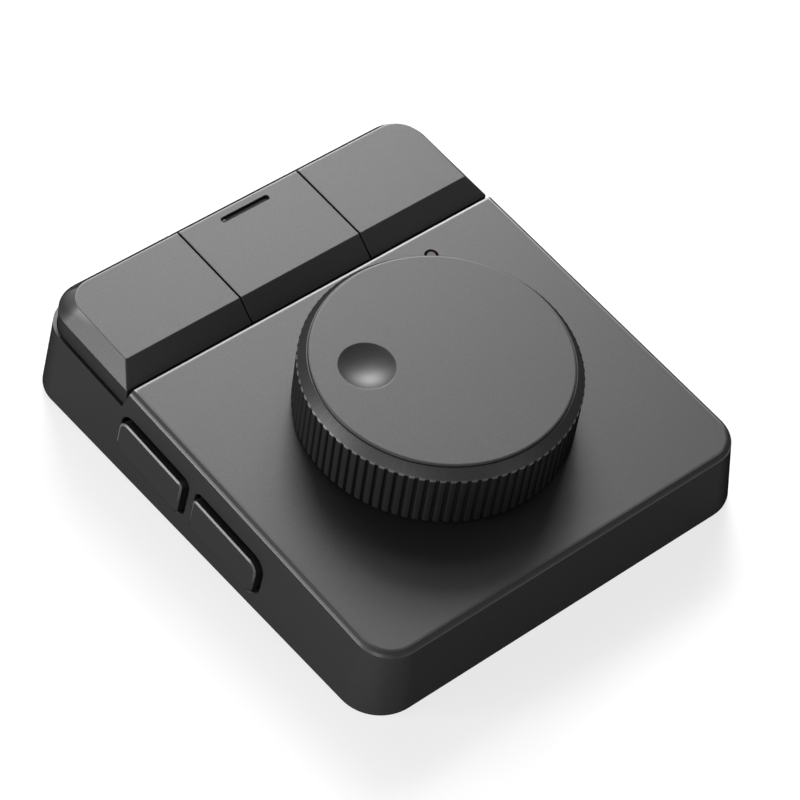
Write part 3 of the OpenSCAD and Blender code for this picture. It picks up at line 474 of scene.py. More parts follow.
@dataclass(frozen=True)
class Moulded(Finish):
    """Moulded plastic or rubber with a fine texture.

    A gloss above zero gives the plastic a skin whose shine sits on the peaks of the texture. It
    fades towards a flat view, where the peaks hide one another, at the power called fade. Marked
    parts shine at any angle, and a painted highlight lightens their colour by a set share.
    """

    specular: float = 0.5
    grain_scale: float = 6000.0
    grain_height: float = 0.00001
    drift: float = 0.04
    specks: float = 0.08
    edge_shine: float = 0.08
    # Share of the mark added to the base colour: a painted highlight.
    painted_highlight: float = 0.0
    gloss: float = 0.0
    fade: float = 2.3
    skin_roughness: float = 0.46
    skin_ior: float = 1.6
    pit_gloss: Point2 = (0.82, 1.12)

    def make(self, effects: Effects) -> Material:
        """Builds the material from the shared node groups.

        Args:
            effects: The shared node groups.

        Returns:
            The material.
        """
        material, wires, shader, tone = self.start(effects, self.drift, self.specks)
        edge = wires.node("ShaderNodeGroup", node_tree=effects.edge).outputs["Mask"]
        shine = wires.math("MULTIPLY", edge, self.edge_shine)
        values = {"Scale": self.grain_scale}
        grain = wires.node("ShaderNodeGroup", values, node_tree=effects.grain).outputs
        values = {
            "Base Color": tone["Colour"],
            "Roughness": wires.math("SUBTRACT", tone["Roughness"], shine),
            "Specular IOR Level": self.specular,
            "Normal": wires.bump(grain["Height"], self.grain_height),
        }
        if self.gloss > 0.0:
            gloss_and_highlight_mask = wires.node("ShaderNodeAttribute", attribute_name=GLOSS_AND_HIGHLIGHT).outputs["Fac"]
            facing = wires.node("ShaderNodeLayerWeight").outputs["Facing"]
            front = wires.math("SUBTRACT", 1.0, facing)
            skin = wires.math("MULTIPLY", wires.math("POWER", front, self.fade), self.gloss)
            pits = wires.span(grain["Pits"], (0.0, 1.0), self.pit_gloss)
            skin = wires.math("MULTIPLY", skin, pits)
            # Painted highlight: the mark, times its share, is added to the base colour; the coat's
            # gloss below is real shine.
            highlighted_colour = {0: tone["Colour"], 1: wires.math("MULTIPLY", gloss_and_highlight_mask, self.painted_highlight)}
            highlighted_colour = wires.node("ShaderNodeVectorMath", highlighted_colour, operation="ADD").outputs[0]
            values |= {
                "Base Color": highlighted_colour,
                "Coat Weight": wires.math("MAXIMUM", skin, gloss_and_highlight_mask),
                "Coat Roughness": self.skin_roughness,
                "Coat IOR": self.skin_ior,
            }
        wires.feed(shader, values)
        return material


@dataclass(frozen=True)
class Metal(Finish):
    """Plated, rolled or turned metal with fine lines."""

    line_scale: float = 2500.0
    line_height: float = 0.000004
    stretch: tuple[float, float, float] = (0.06, 1.0, 1.0)

    def make(self, effects: Effects) -> Material:
        """Builds the material from the shared node groups.

        Args:
            effects: The shared node groups.

        Returns:
            The material.
        """
        material, wires, shader, tone = self.start(effects, 0.08, 0.04)
        values = {"Vector": wires.place(), "Scale": self.stretch}
        stretch = wires.node("ShaderNodeMapping", values)
        values = {"Vector": stretch.outputs["Vector"], "Scale": self.line_scale}
        lines = wires.node("ShaderNodeTexNoise", values).outputs["Fac"]
        values = {"Base Color": tone["Colour"], "Roughness": tone["Roughness"], "Metallic": 1.0}
        wires.feed(shader, values | {"Normal": wires.bump(lines, self.line_height)})
        return material


@dataclass(frozen=True)
class Glow(Finish):
    """Pale light guide that a small light shines through."""

    glow: float = 0.0

    def make(self, effects: Effects) -> Material:
        """Builds the material from the shared node groups.

        Args:
            effects: The shared node groups.

        Returns:
            The material.
        """
        material, wires, shader, tone = self.start(effects, 0.05, 0.05)
        values = {
            "Base Color": tone["Colour"],
            "Roughness": tone["Roughness"],
            "Specular IOR Level": 0.1,
            "Emission Color": tone["Colour"],
            "Emission Strength": self.glow,
            "Subsurface Weight": 0.3,
            "Subsurface Scale": 0.001,
        }
        wires.feed(shader, values)
        return material


def plain_material(name: str) -> tuple[Material, Wires, bpy.types.Node]:
    """Makes a material that holds only its shader and output.

    Args:
        name: The material's name.

    Returns:
        The material, its wires and its shader node.
    """
    material = bpy.data.materials.new(name)
    material.use_nodes = True
    tree = material.node_tree
    return material, Wires(tree), tree.nodes["Principled BSDF"]


@dataclass(frozen=True)
class Palette:
    """Every finish of the keypad, by the record's material slot."""

    finishes: tuple[Finish, ...] = (
        *(
            Moulded(f"{part}_plastic", BLACK, specular=0.0, gloss=0.95)
            for part in ("housing", "key", "knob_face", "button")
        ),
        # The grip's marked rib tips get a painted highlight: their colour is lightened there.
        Moulded(
            "grip_plastic", (0.016, 0.016, 0.0163), 0.5, 0.0, grain_height=0.000004, painted_highlight=0.05,
            gloss=0.95,
        ),
        Moulded("cover_plastic", (0.035, 0.035, 0.036), 0.55),
        Moulded("foot_rubber", (0.025, 0.025, 0.025), 0.8, 0.3, 2500.0, 0.00003),
        Metal("screw_steel", (0.62, 0.62, 0.64), 0.32),
        Metal("neck_brass", (0.75, 0.58, 0.3), 0.28),
        Moulded("board_laminate", (0.012, 0.09, 0.045), 0.35, 0.5, 900.0, 0.00001, 0.12),
        Moulded("chip_plastic", (0.02, 0.02, 0.021), 0.5, 0.5, 5000.0),
        Moulded("switch_plastic", (0.025, 0.025, 0.026), 0.42),
        Moulded("stem_plastic", (0.62, 0.63, 0.65), 0.4, 0.5, 4000.0, 0.000003),
        Glow("light_plastic", (0.09, 0.09, 0.092), 0.6, 0.02),
        Moulded("window_plastic", (0.008, 0.008, 0.008), 0.6, 0.1, 5000.0, 0.000002),
        Metal("cell_wrap", (0.55, 0.56, 0.58), 0.38, 1200.0, 0.00003),
        Moulded("foam", (0.03, 0.03, 0.03), 0.9, 0.2, 1500.0, 0.0001),
        Moulded("lead_insulation", (0.28, 0.02, 0.02), 0.4),
    )

    def make(self, effects: Effects) -> dict[str, Material]:
        """Builds every material, by its slot's name."""
        return {finish.name: finish.make(effects) for finish in self.finishes}


# ---- the shared frame


@dataclass(frozen=True)
class Deck:
    """The sloping deck: its place, its outline and the walls that lean out from it."""

    front_y: float = -45.53
    front_h: float = 14.83
    slope: float = 4.0
    width: float = 76.3
    length: float = 89.05
    radius: float = 6.0
    base_w: float = 80.0
    base_l: float = 92.4
    base_r: float = 7.4
    foot_h: float = 0.5
    base_bevel: float = 0.6
    edge_run: float = 0.85
    edge_drop: float = 0.6
    corner_steps: int = 16
    side_steps: int = 8

    def matrix(self) -> Matrix:
        """Matrix from the deck frame to the part's millimetres."""
        tilt = Matrix.Rotation(math.radians(self.slope), 4, "X")
        return Matrix.Translation((0.0, self.front_y, self.front_h)) @ tilt

    def _plan(self, width: float, ends: Point2, radius: float, inset: float) -> list[Point2]:
        """Rounded outline of a width, between two ends, set in.

        Args:
            width: Its width.
            ends: Its front and back end.
            radius: Its corners' radius.
            inset: How far it is set in.

        Returns:
            The outline's points.
        """
        half, radii = width / 2 - inset, [radius - inset] * 4
        low, high = (-half, ends[0] + inset), (half, ends[1] - inset)
        return outline(low, high, radii, self.corner_steps, self.side_steps)

    def ring(self, inset: float, z: float) -> Ring:
        """The deck's outline, set in, at a height above it, in the part's millimetres."""
        plan = self._plan(self.width, (0.0, self.length), self.radius, inset)
        return [self.matrix() @ point for point in at(z, plan)]

    def base_ring(self, inset: float, z: float) -> Ring:
        """The base's outline, set in, at a height above the table, in the part's millimetres."""
        ends = (-self.base_l / 2, self.base_l / 2)
        return at(z, self._plan(self.base_w, ends, self.base_r, inset))

    def side_lean(self, y: float) -> float:
        """Lean of the side walls in degrees, beside a point of the deck.

        Args:
            y: The point's place up the slope.

        Returns:
            The lean.
        """
        slope = math.radians(self.slope)
        top = self.front_h + y * math.sin(slope) - self.foot_h - self.base_bevel
        drop = top / math.cos(slope) - self.edge_drop
        return math.degrees(math.atan((self.base_w - self.width) / 2 / drop))

    def side_x(self, y: float, depth: float) -> float:
        """Distance of a side wall's face from the middle, at a depth below the deck."""
        lean = math.radians(self.side_lean(y))
        return self.width / 2 + (depth - self.edge_drop) * math.tan(lean)


@dataclass
class Assembly:
    """What every sub-assembly has: the deck that it sits on and the finishes of its pieces."""

    deck: Deck
    materials: dict[str, Material]

    def dress(self, piece: Piece, slot_name: str) -> None:
        """Gives a piece the finish of a material slot."""
        piece.data.materials.clear()
        piece.data.materials.append(self.materials[slot_name])

    def finish(self, piece: Piece, body: str, slot_name: str, *nodes: str) -> None:
        """Turns a mesh to metres, dresses it and ties it to its body.

        Args:
            piece: The object, in millimetres.
            body: The body that it rides on.
            slot_name: The material slot of its finish.
            *nodes: The CAD nodes that it stands for.
        """
        mesh = piece.data
        mesh.transform(Matrix.Scale(MM, 4))
        mesh.shade_smooth()
        mesh.set_sharp_from_angle(angle=SHARP_ANGLE)
        piece.modifiers.new("flat_faces", "WEIGHTED_NORMAL").keep_sharp = True
        self.dress(piece, slot_name)
        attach(piece, body)
        for node in nodes:
            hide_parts(node)
        LOG.info("%s: %d faces, rides on %s", piece.name, len(mesh.polygons), body)


# ---- the keys' row


@dataclass(frozen=True)
class KeyRow:
    """Sizes that the three keycaps and the housing's bay share."""

    half_w: float = 38.0
    front: float = 65.69
    back: float = 88.62
    foot: float = 1.04
    top: float = 1.89
    skirt: float = 5.4
    bevel_front: float = 3.59
    bevel_side: float = 2.28
    foot_r: float = 6.0
    top_r: float = 4.6
    split: float = 12.57
    gap: float = 0.25
    wall: float = 1.2
    top_t: float = 1.4
    deck_gap: float = 1.04
    well_gap: float = 0.15
    well_depth: float = 7.3
    rim_depth: float = 4.9
    rim_slant: float = 1.4

    @property
    def deck_back(self) -> float:
        """Where the open deck ends, in front of the keys."""
        return self.front - self.deck_gap

    @property
    def middle(self) -> float:
        """Middle of the row, front to back."""
        return (self.front + self.back) / 2

    def ends(self, side: Side) -> Point2:
        """Left and right end of a key at its foot.

        Args:
            side: The key's side.

        Returns:
            Its left and right end.
        """
        inner, outer = self.split + self.gap / 2, self.split - self.gap / 2
        ends = {Side.LEFT: (-self.half_w, -inner), Side.MIDDLE: (-outer, outer)}
        return ends.get(side, (inner, self.half_w))

    def stem_x(self, side: Side) -> float:
        """Where a key's stem stands."""
        return side.value * (self.half_w + self.split + self.gap / 2) / 2


@dataclass
class Keycap:
    """One hollow keycap: a bevelled top on a straight skirt."""

    row: KeyRow
    side: Side
    corner_steps: int = 12
    edge_r: float = 0.12
    top_round: float = 0.2
    lip_run: float = 0.35
    lip_drop: float = 0.07
    foot_round: float = 0.3
    mitre_r: float = 0.25
    hollow_r: float = 0.4
    guide_x: float = 9.1
    guide_r: float = 1.2
    socket_r: float = 2.8
    pin_foot: float = -8.95
    socket_foot: float = -3.0
    root: float = 0.3

    def _ring(self, share: float, z: float, wall: float = 0.0, lip: float = 0.0) -> Ring:
        """One ring of the cap in the deck frame.

        Args:
            share: How far up the bevel the ring is, from 0 at the foot to 1 at the top.
            z: Its height above the deck.
            wall: How far inside the outer face it is.
            lip: How much further the back edge is set in.

        Returns:
            The ring's points.
        """
        row = self.row
        x0, x1 = row.ends(self.side)
        lift = max(0.0, z - (row.top - self.edge_r)) if wall == 0.0 else 0.0
        soft = self.edge_r - math.sqrt(max(0.0, self.edge_r**2 - lift**2))
        y0 = row.front + share * row.bevel_front + wall
        y1 = row.back - share * row.bevel_side - wall - lip
        outer = row.foot_r + (row.top_r - row.foot_r) * share - wall
        inner, front = (self.edge_r, self.mitre_r) if wall == 0.0 else [self.hollow_r] * 2
        insets, radii = [soft, soft], [inner] * 4
        if self.side is Side.LEFT:
            insets[0], radii[2], radii[3] = share * row.bevel_side, outer, front
        if self.side is Side.RIGHT:
            insets[1], radii[0], radii[1] = share * row.bevel_side, front, outer
        low, high = (x0 + insets[0] + wall, y0), (x1 - insets[1] - wall, y1)
        sag = self.lip_drop if wall == lip == 0.0 and z > row.top - self.top_round else 0.0
        plan = outline(low, high, radii, self.corner_steps)
        sags = [sag * min(1.0, max(0.0, 1.0 + (y - y1) / outer)) for _, y in plan]
        return [Vector((x, y, z - less)) for (x, y), less in zip(plan, sags)]

    def build(self, matrix: Matrix) -> Piece:
        """Builds the cap's mesh, still in millimetres.

        Args:
            matrix: Matrix from the deck frame to the part's millimetres.

        Returns:
            The cap.
        """
        row = self.row
        run = (row.bevel_front + row.bevel_side) / 2
        foot, top = (0.0, -row.foot), (run, row.top)
        profile = [(0.0, -row.skirt + 0.15)]
        profile += round_corner((0.0, -row.skirt), foot, top, self.foot_round, 3)
        profile += round_corner(foot, top, (2 * run, row.top), self.top_round, 4)
        under = row.top - row.top_t
        share = (under + row.foot) / (row.top + row.foot)
        rings = [self._ring(share, under, row.wall)]
        rings += [self._ring(0.0, z, row.wall) for z in (-row.foot, -row.skirt)]
        rings.append(self._ring(0.0, -row.skirt, 0.001))
        rings += [self._ring(inset / run, z) for inset, z in profile]
        rings.append(self._ring(profile[-1][0] / run + 0.002, row.top, 0.0, self.lip_run))
        cap = Solid(f"keycap_{self.side.name.lower()}", matrix)
        cap.loft(rings)
        stem, root = row.stem_x(self.side), under + self.root
        cap.post(stem, row.middle, self.socket_foot, root, self.socket_r)
        for x in (stem - self.guide_x, stem + self.guide_x):
            cap.post(x, row.middle, self.pin_foot, root, self.guide_r)
        return cap.build()


@dataclass
class KeySet(Assembly):
    """The three keycaps and the light window in the middle one."""

    row: KeyRow
    window_l: float = 9.9
    window_w: float = 1.0
    window_inset: float = 2.0
    window_recess: float = 0.45
    window_gap: float = 0.02
    window_edge: float = 0.05
    window_flare: float = 0.1
    # Radius and depth of the pale dot that paints a reflection at the window's left end.
    glint_r: float = 0.3
    glint_depth: float = 0.15
    beyond: float = 1.0

    @property
    def window_y(self) -> float:
        """Middle of the window, front to back."""
        return self.row.back - self.row.bevel_side - self.window_inset

    def _slot(self, grow: float, z: float) -> Ring:
        """Ring of the window's slot, grown by a distance, at a height above the deck."""
        return at(z, slot(0.0, self.window_y, self.window_l + 2 * grow, self.window_w + 2 * grow))

    def _window(self) -> None:
        """Builds the dark window, and at its left end a pale, faintly glowing dot that is a painted
        reflection.
        """
        top, matrix = self.row.top - self.window_recess, self.deck.matrix()
        levels = [(0.0, self.row.top - self.row.top_t), (0.0, top - self.window_edge)]
        levels.append((self.window_edge, top))
        rings = [self._slot(-self.window_gap - inset, z) for inset, z in levels]
        window = Solid("key_window", matrix).loft(rings).build()
        self.finish(window, "key_middle", "window_plastic", "key_window")
        # Painted reflection: a pale, faintly glowing dot at the window's left end.
        dot = Solid("painted_glint_dot", matrix)
        x, tip = -(self.window_l - self.window_w) / 2, top + self.window_recess / 2
        dot.post(x, self.window_y, top - self.glint_depth, tip, self.glint_r)
        self.finish(dot.build(), "key_middle", "light_plastic")

    def build(self) -> None:
        """Builds and dresses the keycaps and the window."""
        row, flare, matrix = self.row, self.window_flare, self.deck.matrix()
        to_deck = matrix.inverted()
        low, front = row.top - Keycap.lip_drop - 0.05, row.back - row.bevel_side - row.top_r

        def on_lip(vert: Vert) -> bool:
            """Whether a vertex lies on the back edge of a keycap's top."""
            place = to_deck @ vert.co
            return low < place.z < row.top - 0.005 and place.y > front

        for side in Side:
            cap = Keycap(row, side).build(matrix)
            if side is Side.MIDDLE:
                levels = [(0.0, row.top - row.top_t - self.beyond), (0.0, row.top - flare)]
                levels.append((flare * 1.5, row.top + flare / 2))
                rings = [self._slot(grow, z) for grow, z in levels]
                carve(cap, [Solid("slot_cutter", matrix).loft(rings).build()])
            mark_gloss_and_highlight(cap, on_lip)
            name = side.name.lower()
            self.finish(cap, f"key_{name}", "key_plastic", f"keycap_{name}")
        self._window()


# ---- the side buttons


@dataclass
class SideButtons(Assembly):
    """The two push buttons in the left wall, and their windows."""

    middle_y: float = 46.75
    pitch: float = 19.5
    depth: float = 9.5
    length: float = 16.5
    height: float = 7.0
    proud: float = 1.0
    outer_r: float = 2.0
    inner_r: float = 0.9
    gap: float = 0.7
    edge_run: float = 0.42
    edge_drop: float = 0.2
    edge_r: float = 0.12
    root: float = -2.1
    flare: float = 0.15
    flare_reach: float = 2.0
    window_depth: float = 3.3
    flange_h: float = 9.2
    flange_l: float = 12.5
    flange_z: Point2 = (-2.9, -2.15)
    stub_z: Point2 = (-3.5, -2.8)
    stub_r: float = 1.3

    def matrix(self, end: End) -> Matrix:
        """Frame of a button: x up the wall, y to the back, z out of the wall.

        Args:
            end: Which button.

        Returns:
            The frame.
        """
        lean = self.deck.side_lean(self.middle_y)
        x = -self.deck.side_x(self.middle_y, self.depth)
        place = Matrix.Translation((x, self.middle_y + end.value * self.pitch / 2, -self.depth))
        return self.deck.matrix() @ place @ Matrix.Rotation(math.radians(lean - 90.0), 4, "Y")

    def ring(self, end: End, grow: float, z: float) -> Ring:
        """Ring of a button's outline, grown; the pair's outer ends are rounder.

        Args:
            end: Which button.
            grow: How far the outline is grown.
            z: Its height off the wall.

        Returns:
            The ring.
        """
        half_h, half_l = self.height / 2 + grow, self.length / 2 + grow
        outer, inner = self.outer_r + grow, self.inner_r + grow
        front, back = (outer, inner) if end is End.FRONT else (inner, outer)
        return at(z, outline((-half_h, -half_l), (half_h, half_l), [front, back, back, front], 10))

    def cutter(self, end: End) -> Piece:
        """Cutter of a button's window, flared where it meets the wall's face.

        Args:
            end: Which button.

        Returns:
            The cutter.
        """
        levels = [(self.gap, -self.window_depth), (self.gap, -self.flare)]
        levels.append((self.gap + self.flare + self.flare_reach, self.flare_reach))
        rings = [self.ring(end, grow, z) for grow, z in levels]
        return Solid("window_cutter", self.matrix(end)).loft(rings).build()

    def build(self) -> None:
        """Builds and dresses both buttons."""
        half_h, half_l = self.flange_h / 2, self.flange_l / 2
        flange = ((-half_h, -half_l), (half_h, -half_l), (half_h, half_l), (-half_h, half_l))
        low, high = (0.0, self.proud - self.edge_drop), (-self.edge_run, self.proud)
        levels = [(0.0, self.root)]
        levels += round_corner((0.0, self.root), low, high, self.edge_r, 2)
        levels += round_corner(low, high, (-self.height / 2, self.proud), self.edge_r, 2)
        for end in End:
            matrix = self.matrix(end)
            name = end.name.lower()
            button = Solid(f"side_button_{name}", matrix)
            rings = [self.ring(end, grow, z) for grow, z in levels]
            button.loft(rings)
            button.loft([at(z, flange) for z in self.flange_z])
            button.post(0.0, 0.0, *self.stub_z, self.stub_r)
            piece = button.build()
            around, middle = len(rings[0]), (matrix @ Vector((-1.0, 0.0, 0.0))).z
            mark_gloss_and_highlight(piece, lambda vert: vert.index // around in (3, 4) and vert.co.z > middle)
            self.finish(piece, f"side_{name}", "button_plastic", f"side_button_{name}")


# ---- the housing


@dataclass
class Housing(Assembly):
    """The one-piece housing: deck, walls, bay for the keys, windows and openings.

    Cutters reach some way beyond the faces that they open.
    """

    row: KeyRow
    buttons: SideButtons
    wall: float = 1.8
    deck_t: float = 1.8
    cover_top: float = 2.5
    edge_facet: float = 0.32
    facet_lean: float = 0.12
    deck_round: float = 0.12
    brow_run: float = 0.35
    brow_drop: float = 0.06
    back_run: float = 0.4
    back_drop: float = 0.075
    rim_round: float = 0.45
    rim_margin: float = 0.2
    bay_round: float = 0.5
    knob_y: float = 34.25
    neck_hole_r: float = 3.6
    light_x: float = 20.85
    light_y: float = 59.95
    light_hole_r: float = 1.15
    hole_edge: float = 0.08
    hole_steps: int = 40
    socket_z: float = -13.43
    socket_size: Point2 = (9.54, 3.86)
    slider_x: float = 20.0
    slider_z: float = -13.0
    slider_size: Point2 = (5.0, 2.1)
    beyond: float = 0.5
    hole_low: float = -4.0
    slot_ends: Point2 = (8.0, -3.0)
    well_r: float = 0.05
    well_top: float = 3.0
    cut_top: float = 6.0
    cut_side: float = 60.0
    cut_back: float = 100.0

    def _outside(self) -> Piece:
        """The housing's outer form: base bevel, leaning walls, edge chamfer and deck.

        Returns:
            The form.
        """
        deck, bevel = self.deck, self.deck.base_bevel
        run, drop = deck.edge_run, deck.edge_drop
        rings = []
        for step in range(4, -1, -1):
            angle = math.radians(90.0 * step / 4)
            z = deck.foot_h + bevel - bevel * math.sin(angle)
            rings.append(deck.base_ring(bevel * (1 - math.cos(angle)), z))
        lean, edge, rim = (-0.6, -5.6), (0.0, -drop), (run, 0.0)
        below = (-self.facet_lean * self.edge_facet, -drop - self.edge_facet)
        share = self.edge_facet / math.hypot(run, drop)
        above = (run * share, -drop * (1.0 - share))
        brow = (run * (1.0 - self.brow_drop / drop), -self.brow_drop)
        flat = (brow[0] + self.brow_run, 0.0)
        upper = round_corner(lean, below, above, self.deck_round, 2)
        upper += round_corner(below, above, rim, self.deck_round, 2)
        upper += round_corner(edge, brow, flat, self.deck_round, 3)
        upper += [inner_row(flat, brow), flat]
        top = [deck.ring(inset, z) for inset, z in upper]
        for share in (0.33, 0.66):
            rings.append([a.lerp(b, share) for a, b in zip(rings[4], top[0])])
        return Solid("housing").loft(rings + top).build()

    def _inside(self) -> Piece:
        """Cutter of the hollow that the cover closes.

        Returns:
            The cutter.
        """
        rings = [self.deck.base_ring(self.wall, z) for z in (-self.beyond, self.cover_top)]
        rings.append(self.deck.ring(self.wall, -self.deck_t))
        return Solid("hollow_cutter").loft(rings).build()

    def _bay(self) -> list[Piece]:
        """Cutters of the space over the rim and of the well that the keys move in.

        Returns:
            The two cutters.
        """
        row, deck, back = self.row, self.deck, self.row.deck_back
        flat, brow = (back - self.back_run, 0.0), (back, -self.back_drop)
        edge = (back, -deck.edge_drop)
        foot, far = (back + row.rim_slant, -row.rim_depth), (self.cut_back, -row.rim_depth)
        profile = [(flat[0], self.cut_top), flat, inner_row(flat, brow), brow]
        profile += [edge, *round_corner(edge, foot, far, self.bay_round, 4)]
        profile += [far, (self.cut_back, self.cut_top)]
        sides = (-self.cut_side, self.cut_side)
        rim = [[Vector((x, y, z)) for y, z in profile] for x in sides]
        half, outer = row.half_w + row.well_gap, row.foot_r + row.well_gap
        high = (half, row.back + row.well_gap)
        inner, top = self.well_r, self.well_top - row.rim_depth
        plan = outline((-half, back), high, [inner, outer, outer, inner], deck.corner_steps)
        well = [at(z, plan) for z in (-row.well_depth, top)]
        cutters = {"rim_cutter": rim, "well_cutter": well}
        return [Solid(name, deck.matrix()).loft(rings).build() for name, rings in cutters.items()]

    def _hole(self, x: float, y: float, radius: float) -> Piece:
        """Cutter of a round hole through the deck, with a small chamfer at its mouth.

        Args:
            x: The hole's place across.
            y: Its place up the slope.
            radius: Its radius.

        Returns:
            The cutter.
        """
        mouth = radius + self.hole_edge + self.beyond
        levels = ((radius, self.hole_low), (radius, -self.hole_edge), (mouth, self.beyond))
        rings = [circle(x, y, r, z, self.hole_steps) for r, z in levels]
        return Solid("hole_cutter", self.deck.matrix()).loft(rings).build()

    def _slot(self, x: float, z: float, size: Point2) -> Piece:
        """Cutter of a slot with round ends through the back wall.

        Args:
            x: The slot's middle across.
            z: Its middle's height above the deck.
            size: Its length and width.

        Returns:
            The cutter.
        """
        plan, back = slot(x, z, *size), self.deck.length
        rings = [[Vector((px, back + y, pz)) for px, pz in plan] for y in self.slot_ends]
        return Solid("slot_cutter", self.deck.matrix()).loft(rings).build()

    def _round_rim(self, housing: Piece, to_deck: Matrix) -> None:
        """Rounds the outside of the rim beside and behind the keys.

        Args:
            housing: The housing, in millimetres.
            to_deck: Matrix from its millimetres to the deck frame.
        """
        side = self.row.half_w + self.row.well_gap + self.rim_margin
        back = self.row.back + self.row.well_gap + self.rim_margin
        bm = bmesh.new()
        bm.from_mesh(housing.data)
        bmesh.ops.remove_doubles(bm, verts=bm.verts, dist=1e-4)
        edges = []
        for edge in bm.edges:
            ends = [to_deck @ vert.co for vert in edge.verts]
            flat = all(abs(p.z + self.row.rim_depth) < 0.02 for p in ends)
            outside = all(abs(p.x) > side or p.y > back for p in ends)
            if flat and outside and edge.calc_face_angle(0.0) > math.radians(30.0):
                edges.append(edge)
        bmesh.ops.bevel(
            bm, geom=edges, offset=self.rim_round, offset_type="OFFSET", segments=4, profile=0.5,
            affect="EDGES", clamp_overlap=True,
        )
        bm.to_mesh(housing.data)
        bm.free()

    def _rub_edges(self, housing: Piece, to_deck: Matrix) -> None:
        """Marks the narrow facets along the deck's edges.

        Args:
            housing: The housing, in millimetres.
            to_deck: Matrix from its millimetres to the deck frame.
        """
        back_y, drop, facet = self.row.deck_back, self.deck.edge_drop, self.edge_facet
        margin = 1.4
        side = self.deck.width / 2 - margin

        def on_edge(vert: Vert) -> bool:
            """Whether a vertex lies on one of the facets.

            Args:
                vert: The vertex.

            Returns:
                True if it does.
            """
            place = to_deck @ vert.co
            outside = abs(place.x) > side or place.y < margin
            behind = back_y - self.back_run < place.y < back_y + 0.01
            low = -drop - facet < place.z < -drop + 0.5 * facet
            brow = -self.brow_drop - 0.01 < place.z < -0.05 * self.brow_drop
            back = -self.back_drop - 0.01 < place.z < -0.05 * self.back_drop
            return (outside and (low or brow)) or (behind and back)

        mark_gloss_and_highlight(housing, on_edge)

    def build(self) -> None:
        """Builds and dresses the housing."""
        housing = self._outside()
        cutters = [self._inside(), *self._bay()]
        cutters += [self.buttons.cutter(end) for end in End]
        cutters.append(self._hole(0.0, self.knob_y, self.neck_hole_r))
        cutters.append(self._hole(self.light_x, self.light_y, self.light_hole_r))
        cutters.append(self._slot(0.0, self.socket_z, self.socket_size))
        cutters.append(self._slot(self.slider_x, self.slider_z, self.slider_size))
        carve(housing, cutters)
        to_deck = self.deck.matrix().inverted()
        self._round_rim(housing, to_deck)
        self._rub_edges(housing, to_deck)
        self.finish(housing, "case", "housing_plastic", "housing")


# ---- the knob


